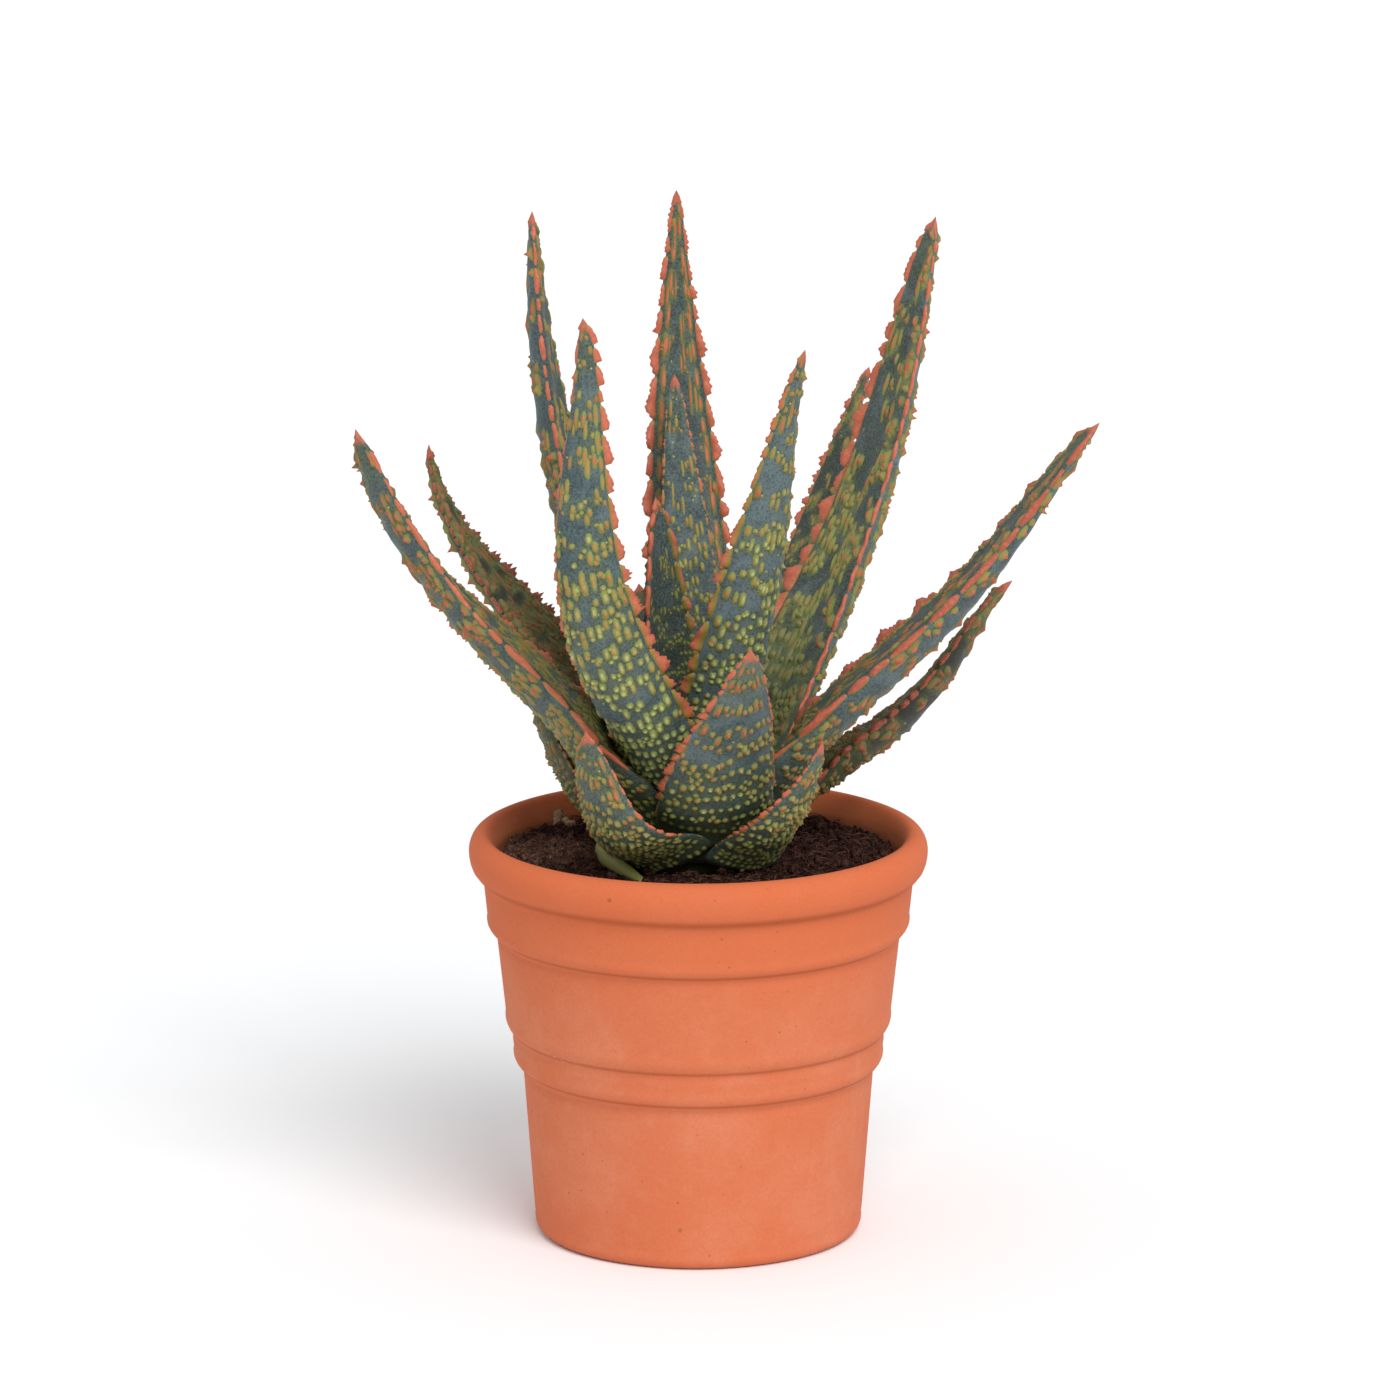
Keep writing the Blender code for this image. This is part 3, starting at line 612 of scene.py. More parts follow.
def add_piece(name, part, points, faces, materials, attributes, face_materials=None, closed=None,
              weld=False):
    """Make a mesh piece in millimetres that rides with the plant and stands for a part of the frame.

    closed: how many of the faces form closed shells, where the rest is open and already faces outwards.
    weld: whether points in the same place become one.
    """
    mesh = bpy.data.meshes.new(name)
    mesh.from_pydata((np.asarray(points) * MM).tolist(), [], faces)
    for material in materials:
        mesh.materials.append(material)
    if face_materials is not None:
        mesh.polygons.foreach_set("material_index", np.asarray(face_materials, np.int32))
    for key, values in attributes.items():
        layer = mesh.attributes.new(key, "FLOAT", "POINT")
        layer.data.foreach_set("value", np.asarray(values, np.float32))
    build = bmesh.new()
    build.from_mesh(mesh)
    if weld:
        bmesh.ops.remove_doubles(build, verts=build.verts, dist=0.001 * MM)
    bmesh.ops.recalc_face_normals(build, faces=build.faces[:closed])
    build.to_mesh(mesh)
    build.free()
    mesh.shade_smooth()
    piece = bpy.data.objects.new(name, mesh)
    bpy.context.scene.collection.objects.link(piece)
    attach(piece, "root")
    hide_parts(part)
    return piece


def ring_faces(rings, points, first=0, capped=False):
    """Quads between closed rings of points that follow each other, with a face on both ends if capped."""
    rows = np.arange(rings - 1)[:, None] * points + first
    here = np.arange(points)[None, :]
    after = (here + 1) % points
    quads = np.stack([rows + here, rows + after, rows + points + after, rows + points + here], axis=-1)
    last = first + (rings - 1) * points
    ends = [list(range(first, first + points)), list(range(last, last + points))]
    return quads.reshape(-1, 4).tolist() + (ends if capped else [])


def ring(radius, angles, height):
    """Points of a level circle."""
    level = np.full_like(angles, height)
    return np.stack([radius * np.cos(angles), radius * np.sin(angles), level], axis=-1)


def skin_values(points, **own):
    """What the mesh holds at each point for the skin: these values, and plain skin's for the rest."""
    plain = {"spot": -2.0, "warmth": 0.0, "along": 50.0, "tip": 50.0, "inner": 0.0, "age": 0.0,
             "halo": 0.0, "bloom": 0.0, "reach": 0.0}
    return {key: np.zeros(points) + own.get(key, value) for key, value in plain.items()}


class Leaf:
    """One leaf: its centreline, and its width, thickness and channel along it."""

    def __init__(self, row):
        (self.name, self.azimuth, self.base_azimuth, self.base_radius, self.length, self.leans,
         self.drift, (self.base_width, self.width), self.thickness, self.channel, self.twists,
         self.fullness, self.tooth) = row
        self.look = LEAF_LOOKS.get(self.name, Look())
        self.steps = np.linspace(0, 1, LINE_STEPS + 1)
        start = math.radians(self.base_azimuth)
        first = np.array([self.base_radius * math.cos(start), self.base_radius * math.sin(start),
                          CROWN_EDGE_HEIGHT + (CROWN_EDGE_RADIUS - self.base_radius) * CROWN_SLOPE])
        moves = self.direction((self.steps[1:] + self.steps[:-1]) / 2) * (self.length / LINE_STEPS)
        self.line = np.vstack([first, first + np.cumsum(moves, axis=0)])

    def lean(self, s):
        """Lean at a share s of the length: a cubic through the four given values."""
        x = 3 * s
        a, b, c, d = self.leans
        return (-a * (x - 1) * (x - 2) * (x - 3) / 6 + b * x * (x - 2) * (x - 3) / 2
                - c * x * (x - 1) * (x - 3) / 2 + d * x * (x - 1) * (x - 2) / 6)

    def direction(self, s):
        """Unit vectors along the leaf."""
        lean = np.radians(self.lean(s))
        heading = np.radians(self.azimuth + self.drift * s)
        level = np.sin(lean)
        return np.stack([level * np.cos(heading), level * np.sin(heading), np.cos(lean)], axis=-1)

    def axes(self, s):
        """Unit vectors across the leaf and towards its inner face."""
        heading = np.radians(self.azimuth + self.drift * s)
        across = np.stack([-np.sin(heading), np.cos(heading), np.zeros_like(s)], axis=-1)
        inward = np.cross(self.direction(s), across)
        base = (self.base_azimuth - self.azimuth) * (1 - smooth(s * self.length / CHANNEL_LENGTH))
        middle, tip = self.twists
        turn = np.radians(base + middle * smooth(s * 2) + (tip - middle) * smooth(s * 2 - 1))[:, None]
        return across * np.cos(turn) + inward * np.sin(turn), inward * np.cos(turn) - across * np.sin(turn)

    def body(self, s):
        """Taper towards the tip, from 1 to 0."""
        return np.sin(np.pi / 2 * np.clip((1 - s) / FULL_WIDTH_SHARE, 0, 1))

    def sheath(self, s):
        """Rise from the thin sheathing base to the full blade."""
        return smooth(s * self.length / SHEATH_LENGTH)

    def point(self, s):
        """The last millimetres close to a point."""
        return np.clip((1 - s) * self.length / POINT_LENGTH, 0.02, 1) ** 0.8

    def width_at(self, s):
        """Width between the margins without the horn."""
        base = min(self.base_width, BASE_WRAP * self.base_radius)
        full = self.width * self.body(s) ** TAPER_POWER
        full = full + self.fullness * smooth((1 - s) * self.length / TIP_LENGTH)
        return np.maximum(TIP_WIDTH, full - (self.width - base) * (1 - self.sheath(s))) * self.point(s)

    def width_near(self, along):
        """Width at a distance from the base."""
        return float(self.width_at(np.array([along / self.length]))[0])

    def thickness_at(self, s):
        """Thickness in the middle of the blade."""
        full = SHEATH_THICKNESS + (self.thickness - SHEATH_THICKNESS) * self.sheath(s)
        return np.maximum(TIP_THICKNESS, full * self.body(s) ** THIN_POWER) * self.point(s)

    def channel_at(self, s):
        """Half angle of the arc that the section is bent in, in radians."""
        base = math.degrees(math.asin(min(0.95, self.width_near(0.0) / (2 * self.base_radius))))
        blade = self.channel + (TIP_CHANNEL - self.channel) * smooth(s * 1.6 - 0.6)
        return np.radians(base + (blade - base) * smooth(s * self.length / CHANNEL_LENGTH))

    def depth(self, s, u, outer):
        """Depth of the skin behind the bent middle surface. It is below zero on the inner face."""
        half = self.thickness_at(s)[:, None] / 2
        lens = np.sqrt(np.clip(1 - np.abs(u) ** 3.2, 0, 1))
        waves = np.sin(s[:, None] * self.length * 0.55 + 2.0 * np.sin(3 * u + self.azimuth))
        if outer:
            half = half * (1.12 - 0.30 * u ** 2)
        skin = np.hypot(half * lens, EDGE_HALF_THICKNESS * self.point(s)[:, None])
        skin = skin + 0.16 * waves * self.fade(s)
        return skin if outer else -skin

    def fade(self, s):
        """The relief is lower at the base and at the tip."""
        return 0.4 + 0.6 * (self.sheath(s) * smooth((1 - s) * self.length / 6))[:, None]

    def place(self, s, u, depth, reach=0.0):
        """Points at shares s along and u across, at a depth behind the bent middle surface."""
        across, inward = self.axes(s)
        half_angle = self.channel_at(s)
        radius = self.width_at(s) / (2 * np.sin(half_angle))
        sag = radius * (1 - np.cos(half_angle))
        middle = np.stack([np.interp(s, self.steps, self.line[:, i]) for i in range(3)], axis=-1)
        origin = middle - inward * (SAG_SHARE * sag * self.sheath(s))[:, None]
        angle = u * half_angle[:, None]
        far = radius[:, None] + depth
        x = far * np.sin(angle) + reach * np.sign(u) * np.cos(half_angle)[:, None]
        y = radius[:, None] - far * np.cos(angle) + reach * np.sin(half_angle)[:, None]
        return origin[:, None, :] + across[:, None, :] * x[..., None] + inward[:, None, :] * y[..., None]


class Spot(NamedTuple):
    """A raised spot on one face of a leaf."""
    along: float
    across: float
    half_length: float
    half_width: float
    warmth: float
    height: float


def scatter_spots(leaf, outer, look):
    """Spots of one face, in bands across the leaf. Towards the tip they are fewer, longer and redder."""
    rng = random.Random(leaf.name + ("outer" if outer else "inner"))
    own = leaf.look
    relief = look.spot_height
    spots = []
    along = 2.0 + max(0.0, own.foot)
    while along < leaf.length - 3.5:
        s = along / leaf.length
        width = leaf.width_near(along)
        grow = float(smooth((along - 14) / 46))
        high = float(smooth((s - 0.45) / 0.35))
        half_width = own.spots[outer] * (0.54 + 0.27 * min(1.0, width / 19)) * (1 - 0.10 * high)
        lanes = max(1, round(width * SPOT_SPAN / (2.35 * half_width)))
        fill = min(0.95, own.density * (1.40 - 0.50 * grow - 0.30 * high) * rng.uniform(0.75, 1.2))
        bow = rng.uniform(-0.5, 1.8)
        drift = run = 0
        for lane in range(lanes):
            if run <= 0:
                shown = rng.random() < fill
                run = rng.choice((1, 2, 2, 3, 4)) if shown else rng.choice((1, 1, 2, 3))
            run -= 1
            drift = 0.55 * drift + rng.gauss(0, 0.35 + 1.0 * grow)
            if not shown:
                continue
            across = ((lane + 0.5 + rng.uniform(-0.16, 0.16)) / lanes * 2 - 1) * SPOT_SPAN
            wide = half_width * rng.uniform(0.78, 1.15)
            streak = rng.uniform(0.0, 1.3) * grow * min(1.0, 0.35 + own.streak)
            streak += (rng.random() < 0.45) * rng.uniform(0.3, 2.0) * (high + own.streak * grow)
            warmth = own.redness + (s - 0.42) * 1.1 + 0.22 * across ** 2 + rng.gauss(0, 0.14)
            half_length = wide * rng.uniform(1.0, 1.35) + streak
            height = relief * wide * rng.uniform(0.7, 1.15)
            spots.append(Spot(along + drift + bow * across ** 2, across, half_length, wide, warmth, height))
            if rng.random() < 0.22:
                beside = across + rng.choice((-1, 1)) * 2.6 * wide / width
                after = along + drift + rng.choice((-1, 1)) * rng.uniform(1.2, 2.4) * wide
                half_length = wide * rng.uniform(0.8, 1.2)
                spots.append(Spot(after, beside, half_length, wide * 0.85, warmth, relief * wide * 0.8))
        for _ in range(2):
            if rng.random() < 0.35:
                after = along + rng.uniform(1.5, 4.0)
                spots.append(Spot(after, rng.uniform(-0.85, 0.85), 0.42, 0.40, -0.3, 0.2))
        band = (2.5 + 1.5 * grow + 1.3 * high) * rng.uniform(0.85, 1.2)
        along += band * (0.4 + 0.6 * own.spots[outer]) * own.pitch
    return spots + margin_bars(leaf, outer, rng)


def margin_bars(leaf, outer, rng):
    """Smooth coral bars beside the margins of some leaves, and rough lumps beside those of others."""
    spots = []
    for side, bars, crust in zip((1.0, -1.0), leaf.look.bars, leaf.look.crusts):
        along = leaf.length * 0.16
        while along < leaf.length - 8:
            if not outer and rng.random() < bars:
                half_length = rng.uniform(2.6, 4.8)
                across = side * (1 - 3.0 / leaf.width_near(along))
                spots.append(Spot(along + half_length, across, half_length, 0.78, 1.6, 0.42))
                along += 2 * half_length + rng.uniform(0.4, 1.6)
            else:
                along += 4.0
        along = leaf.length * 0.12
        while along < leaf.length - 5:
            half_length = rng.uniform(0.9, 2.6)
            if rng.random() < crust:
                wide = rng.uniform(0.65, 0.95)
                across = side * rng.uniform(0.74, 0.97)
                warmth = rng.uniform(0.55, 1.0)
                spots.append(Spot(along, across, half_length, wide, warmth, wide * rng.uniform(0.9, 1.6)))
            along += half_length * 1.5
    return spots


def spot_domes(leaf, outer, spots, dome):
    """Points, faces and values of raised spots on one face: rings of points and a top for each."""
    rings, heights, levels = dome
    rng = np.random.default_rng(len(spots) + round(leaf.length))
    place, at, half_length, half_width, warmth, height = np.array(spots).T
    turns = np.tile((np.arange(DOME_POINTS) + 0.5) / DOME_POINTS * 2 * np.pi, len(rings))
    shares = np.repeat(rings, DOME_POINTS)
    ragged = shares * (1 + rng.normal(0, 0.06, (len(spots), len(turns))))
    full = np.where(half_length > 1.5 * half_width, 0.80, 1.0)[:, None]
    offsets = []
    for half, turned in ((half_width, np.cos(turns)), (half_length, np.sin(turns))):
        rim = half[:, None] * ragged * np.sign(turned) * np.abs(turned) ** full
        offsets.append(np.append(rim, np.zeros((len(spots), 1)), axis=1))
    x, y = offsets
    s = np.clip((place[:, None] + y) / leaf.length, 0.003, 0.995)
    flat = s.reshape(-1)
    half = leaf.width_at(flat).reshape(s.shape) / 2
    u = np.clip(at[:, None] + x / half, -1.0, 1.0).reshape(-1)[:, None]
    rise = np.append(np.repeat(heights, DOME_POINTS), 1.0)[None, :] * height[:, None]
    rough = (np.clip(warmth - 0.25, 0, 0.75) * (warmth < 1.3))[:, None]
    rise = rise * (1 + rng.normal(0, 0.30, rise.shape) * rough) - 0.10
    rise[:, -1] *= 1 + outer * (rng.random(len(spots)) < 0.5) * smooth(place / leaf.length * 3 - 0.6)
    rise = rise.reshape(-1)[:, None] * leaf.fade(flat) * (1.0 if outer else 0.8)
    points = leaf.place(flat, u, leaf.depth(flat, u, outer) + (rise if outer else -rise))[:, 0]
    size = len(turns) + 1
    last = size - 1 - DOME_POINTS
    template = ring_faces(len(rings), DOME_POINTS)
    template += [[last + i, last + (i + 1) % DOME_POINTS, size - 1] for i in range(DOME_POINTS)]
    if not outer:
        template = [face[::-1] for face in template]
    faces = [[i + first for i in face] for first in range(0, len(spots) * size, size) for face in template]
    inner_share = leaf.look.shade * (not outer)
    values = skin_values(
        len(flat), spot=np.tile(np.append(np.repeat(levels, DOME_POINTS), 1.0), len(spots)),
        warmth=np.repeat(warmth, size), along=flat * leaf.length - leaf.look.foot,
        tip=(1 - flat) * leaf.length, inner=inner_share, age=leaf.look.age, halo=1.0,
        bloom=leaf.look.bloom - inner_share)
    return points, faces, values


def halo(leaf, spots, s, u):
    """How close the points are to spots, from 0 to 1."""
    near = np.zeros((len(s), len(u)))
    half = leaf.width_at(s) / 2
    spread = 0.55 + 0.65 * leaf.look.shade
    for spot in spots:
        reach = spot.half_length + 4.5
        ends = np.array([spot.along - reach, spot.along + reach])
        first, last = np.searchsorted(s, ends / leaf.length)
        if first >= last:
            continue
        along = np.abs(s[first:last] * leaf.length - spot.along) - spot.half_length + spot.half_width
        along = np.maximum(0, along)[:, None]
        across = (u[None, :] - spot.across) * half[first:last, None]
        near[first:last] += 0.6 * np.exp(-(along ** 2 + across ** 2) / (spot.half_width + spread) ** 2)
    return np.clip(near, 0, 1.2) * (0.6 + 0.4 * leaf.look.shade)


def leaf_surface(leaf, look, inner_spots, outer_spots):
    """Points, faces and values of a leaf's skin."""
    rows = round(leaf.length / (look.row_step / MM))
    s = np.linspace(0, 1, rows)
    wide = max(16, round(max(leaf.width, leaf.base_width) / (look.column_step / MM)))
    u = np.cos(np.linspace(0, np.pi, wide)) * 0.3 + np.linspace(1, -1, wide) * 0.7
    across = u[None, :] + np.zeros((rows, 1))
    back = across[:, ::-1]
    inner = leaf.place(s, across, leaf.depth(s, across, False))
    outer = leaf.place(s, back, leaf.depth(s, back, True))
    edge = (EDGE_HALF_THICKNESS * leaf.point(s))[:, None] * 0.8
    zero = np.zeros((rows, 1))
    left, right = (leaf.place(s, zero + side, zero, edge) for side in (-1.0, 1.0))
    grid = np.concatenate([inner, left, outer, right], axis=1)
    around = grid.shape[1]

    def spread(values):
        """The values over the grid, and once more for the tip."""
        flat = (values + np.zeros((rows, around))).reshape(-1)
        return np.append(flat, flat[-around])

    inner_share = spread(np.concatenate([np.ones(wide), [0.5], np.zeros(wide), [0.5]]) * leaf.look.shade)
    near = [halo(leaf, inner_spots, s, u), zero, halo(leaf, outer_spots, s, u[::-1]), zero]
    values = skin_values(
        rows * around + 1, warmth=leaf.look.redness, inner=inner_share, age=leaf.look.age,
        along=spread(s[:, None] * leaf.length - leaf.look.foot),
        tip=spread((1 - s[:, None]) * leaf.length),
        halo=spread(np.concatenate(near, axis=1)), bloom=leaf.look.bloom - inner_share)
    faces = ring_faces(rows, around)
    faces += [[i, i + 1, 2 * wide - 1 - i, 2 * wide - i] for i in range(wide - 1)]
    faces += [[0, 2 * wide, 2 * wide + 1], [wide - 1, wide, wide + 1]]
    top = (rows - 1) * around
    faces += [[top + i, top + (i + 1) % around, rows * around] for i in range(around)]
    return np.vstack([grid.reshape(-1, 3), leaf.line[-1]]), faces, values


def horn_outline(leaf, look, number, side):
    """Corners (along, reach) of the horn on one margin: bulging lobes with small pointed teeth."""
    rng = random.Random(f"{leaf.name} horn {side}")
    own = leaf.look
    corners = [(3.0, 0.1)]
    start = min(7.0, 0.07 * leaf.length) + rng.uniform(0, 3)
    while start < leaf.length - 3.0:
        s = start / leaf.length
        taper = float(leaf.body(np.array([s]))[0])
        long = own.lobe * (1 + own.upper[0] * s) * rng.uniform(0.55, 1.55) * (0.6 + 0.4 * taper)
        long = min(long, leaf.length - 0.9 - start)
        cut = own.teeth[number] * max(0.0, 1 + own.upper[1] * s ** 3)
        fade = float(smooth((start - 2) / min(30, 0.35 * leaf.length)))
        fade = max(fade, 0.4 * (leaf.length < SHEATHING_LENGTH)) * (0.35 + 0.65 * taper)
        height = leaf.tooth * own.reaches[number] * fade * rng.uniform(0.65, 1.25)
        teeth = max(3, round(long / (look.tooth_pitch / MM * rng.uniform(0.75, 1.3))))
        top = min(0.85, max(0.15, 0.5 - 0.35 * own.hook + rng.gauss(0, 0.06)))
        corners.append((start, 0.14))
        for tooth in range(teeth):
            for place, low in ((0.4, 0.0), (0.95, cut)):
                q = (tooth + place) / teeth
                bulge = min(q / top, (1 - q) / (1 - top)) ** (0.45 if cut > 0.14 else 0.33)
                reach = height * bulge * rng.uniform(0.9, 1.1) * (1 - low * rng.uniform(0.5, 1.4))
                corners.append((start + long * q, reach))
        corners.append((start + long, 0.14))
        start += long + look.gap / MM * rng.uniform(0.3, 1.7)
        corners.append((start - 0.12, 0.12))
    corners.append((leaf.length - 0.8, 0.1))
    return sorted(corners)


def horn_bands(leaf, look):
    """Points, faces and values of the horny bands along both margins."""
    points, faces, reaches = [], [], []
    shares = np.array(HORN_OUT)[None, :]
    thick = look.thickness / MM * leaf.look.thick / 2 * np.array(HORN_THICK)[None, :]
    for number, side in enumerate((1.0, -1.0)):
        along, reach = np.array(horn_outline(leaf, look, number, side)).T
        s = along / leaf.length
        along, reach = along[:, None], reach[:, None]
        point = leaf.point(s)[:, None]
        out = np.where(shares < 0, shares, shares * reach)
        full = 0.28 + 0.72 * np.clip(reach / 0.9, 0, 1) * (1 + 0.2 * np.sin(along * 0.37 + side))
        bend = 0.25 * np.sin(along * 0.9 + 3 * side) * np.clip(shares, 0, 1) * np.clip(reach, 0, 2)
        band = leaf.place(s, np.full((len(s), 1), side), (thick * full + bend) * point, out * point)
        faces += ring_faces(len(s), len(HORN_OUT), sum(len(p) for p in points), capped=True)
        points.append(band.reshape(-1, 3))
        # Far-reaching roots on margins in shade are painted shade
        root = leaf.look.roots[number] * (0.25 + 0.75 * leaf.body(s)[:, None])
        reaches.append((np.clip(out, 0, 4) / root).reshape(-1))
    reach = np.concatenate(reaches)
    # Darker old horn for old leaves, partly painted shade on the shaded ones, and for the reddest leaves
    age = max(leaf.look.age, 1.2 * leaf.look.redness - 0.6)
    return np.vstack(points), faces, skin_values(len(reach), inner=0.5, age=age, reach=reach)


def foot_stub():
    """Points, faces and values of a smooth green leaf base that leans on the foot of one leaf."""
    q = np.linspace(0, 1, STUB_STEPS)
    path = np.array(STUB_PATH)
    knots = np.linspace(0, 1, len(path))
    middle = np.stack([np.interp(q, knots, path[:, i]) for i in range(3)], axis=-1)
    middle[1:-1] = (middle[:-2] + 2 * middle[1:-1] + middle[2:]) / 4
    out = middle * (1, 1, 0)
    out /= np.linalg.norm(out, axis=1)[:, None]
    half = STUB_HALF_WIDTH * np.sin(np.pi * (0.04 + 0.90 * q ** 0.8)) ** 0.6
    v = np.linspace(-1, 1, STUB_POINTS)
    rise = half[:, None] * v[None, :]
    bulge = 1.1 * (1 - v ** 2)[None, :] - 0.28 * rise
    strip = middle[:, None, :] + rise[..., None] * (0, 0, 1)
    front = strip + (bulge + STUB_HALF_THICKNESS)[..., None] * out[:, None, :]
    back = strip + (bulge - STUB_HALF_THICKNESS)[..., None] * out[:, None, :]
    points = np.concatenate([front, back[:, ::-1]], axis=1).reshape(-1, 3)
    # along=9.0 gives the stub part of the painted shade at a leaf's foot
    values = skin_values(len(points), spot=-0.1, warmth=0.75, along=9.0, tip=60.0, halo=1.0, bloom=-1.0)
    return points, ring_faces(STUB_STEPS, 2 * STUB_POINTS, capped=True), values


def make_leaf(leaf, leaf_look, horn_look, skin, lobe):
    """A leaf with its spots and its horn in one piece that stands for the leaf's solid."""
    spots = {outer: scatter_spots(leaf, outer, leaf_look) for outer in (False, True)}
    parts = [leaf_surface(leaf, leaf_look, spots[False], spots[True]), horn_bands(leaf, horn_look)]
    if leaf.name == STUB_LEAF:
        parts.append(foot_stub())
    closed = sum(len(part[1]) for part in parts)
    for outer in (False, True):
        large = [spot for spot in spots[outer] if spot.half_width >= LARGE_SPOT]
        small = [spot for spot in spots[outer] if spot.half_width < LARGE_SPOT]
        for group, dome in ((large, LARGE_DOME), (small, SMALL_DOME)):
            if group:
                parts.append(spot_domes(leaf, outer, group, dome))
    faces, face_materials, first = [], [], 0
    for number, (points, part_faces, _) in enumerate(parts):
        faces += [[i + first for i in face] for face in part_faces]
        face_materials += [int(number == 1)] * len(part_faces)
        first += len(points)
    values = {key: np.concatenate([part[2][key] for part in parts]) for key in parts[0][2]}
    points = np.vstack([part[0] for part in parts])
    add_piece(leaf.name + "_skin", leaf.name, points, faces, (skin, lobe), values,
              face_materials, closed)


def arc(centre, semi_axes, start, end, steps):
    """Points of an elliptic arc in a profile, with angles from the outward side."""
    angles = np.radians(np.linspace(start, end, steps))
    return [(centre[0] + semi_axes[0] * math.cos(angle), centre[1] + semi_axes[1] * math.sin(angle))
            for angle in angles]


def line(start, end, steps):
    """Points from start to before end."""
    return [(start[0] + (end[0] - start[0]) * i / steps, start[1] + (end[1] - start[1]) * i / steps)
            for i in range(steps)]


def lip(upper, lower):
    """A rounded lip that swells a little, turns in, and meets the next stage in a soft crease."""
    return [(upper[0] - (upper[0] - lower[0]) * inward, upper[1] - (upper[1] - lower[1]) * down)
            for down, inward in LIP_SHAPE]


def pot_profile():
    """The pot's section from the middle of its floor, up inside, over the rim and down outside."""
    rim_height = POT_HEIGHT - RIM_ROLL
    crest = (RIM_CREST_RADIUS, rim_height)
    floor_edge = (FLOOR_RADIUS - FLOOR_ROUND, FLOOR_THICKNESS)
    wall_foot = (FLOOR_RADIUS, FLOOR_THICKNESS + FLOOR_ROUND)
    mouth_foot = (MOUTH_RADIUS - 2.0, POT_HEIGHT - MOUTH_DEPTH)
    profile = line((0.0, FLOOR_THICKNESS), floor_edge, 10) + line(floor_edge, wall_foot, 3)
    profile += line(wall_foot, mouth_foot, 20) + line(mouth_foot, (MOUTH_RADIUS, rim_height), 8)
    profile += arc(crest, (RIM_CREST_RADIUS - MOUTH_RADIUS, RIM_ROLL), 180, 92, 12)
    profile += arc(crest, (RIM_RADIUS - RIM_CREST_RADIUS, RIM_ROLL), 90, 0, 12)
    under_rim = ((0.1, 1.5), (0.4, 3.0), (1.0, 4.6), (1.9, 5.8), (2.9, 6.6))
    profile += [(RIM_RADIUS - inward, rim_height - down) for inward, down in under_rim]
    profile += [(COLLAR_RADIUS + 0.9, rim_height - 7.4), (COLLAR_RADIUS + 0.6, rim_height - 8.6)]
    stages = (((COLLAR_RADIUS + 0.4, COLLAR_TOP), (COLLAR_RADIUS - 0.5, COLLAR_FOOT), 8),
              ((BODY_RADIUS, BODY_TOP), (BODY_RADIUS - 2.3, BODY_FOOT), 12),
              ((BAND_RADIUS, BAND_TOP), (BAND_RADIUS - 0.3, BAND_FOOT), 3))
    lower_tops = (stages[1][0], stages[2][0], (FOOT_RADIUS, FOOT_TOP))
    for (top, foot, steps), lower_top in zip(stages, lower_tops):
        profile += line(top, foot, steps) + lip(foot, lower_top)
    profile += line((FOOT_RADIUS, FOOT_TOP), (BASE_RADIUS, BASE_ROUND + 1.2), 24)
    profile += arc((BASE_RADIUS - BASE_ROUND, BASE_ROUND), (BASE_ROUND, BASE_ROUND), 18, -90, 8)
    return profile + line((BASE_RADIUS - BASE_ROUND - 0.8, 0.0), (0.0, 0.0), 12) + [(0.0, 0.0)]


class PieceOperator:
    """What the operators share."""
    bl_options = {"REGISTER", "UNDO"}


class MakePot(PieceOperator, bpy.types.Operator):
    """Turn the terracotta pot with its rolled rim, collar and bands"""
    bl_idname = "potted_aloe.make_pot"
    bl_label = "Pot"

    def execute(self, context):
        profile = np.array(pot_profile())
        angles = np.linspace(0, 2 * np.pi, POT_STEPS, endpoint=False)
        outer = np.arange(len(profile))[:, None] > np.argmax(profile[:, 1])
        wobble = 0.12 * np.sin(3 * angles + 1.0) + 0.07 * np.sin(7 * angles)
        radius = profile[:, :1] + outer * wobble[None, :] * np.clip(profile[:, :1] / 50, 0, 1)
        height = profile[:, 1:] + 0 * angles[None, :]
        points = np.stack([radius * np.cos(angles), radius * np.sin(angles), height], axis=-1)
        inside = np.repeat(~outer, POT_STEPS, axis=1).reshape(-1)
        pot = add_piece("terracotta_pot", "pot", points.reshape(-1, 3),
                        ring_faces(len(profile), POT_STEPS), (terracotta(context.scene.aloe_pot),),
                        {"inside": inside}, weld=True)
        self.drill(pot)
        return {"FINISHED"}

    def drill(self, pot):
        """Cut the drain holes."""
        for i in range(DRAIN_COUNT):
            angle = 2 * math.pi * (i + 0.25) / DRAIN_COUNT
            place = Vector((math.cos(angle), math.sin(angle), 0)) * DRAIN_CIRCLE_RADIUS * MM
            bpy.ops.mesh.primitive_cylinder_add(vertices=40, radius=DRAIN_RADIUS * MM,
                                                depth=4 * FLOOR_THICKNESS * MM, location=place)
            drill = bpy.context.object
            cut = pot.modifiers.new("Drain", "BOOLEAN")
            cut.object = drill
            cut.operation = "DIFFERENCE"
            depsgraph = bpy.context.evaluated_depsgraph_get()
            mesh = bpy.data.meshes.new_from_object(pot.evaluated_get(depsgraph))
            pot.modifiers.clear()
            pot.data = mesh
            bpy.data.objects.remove(drill)


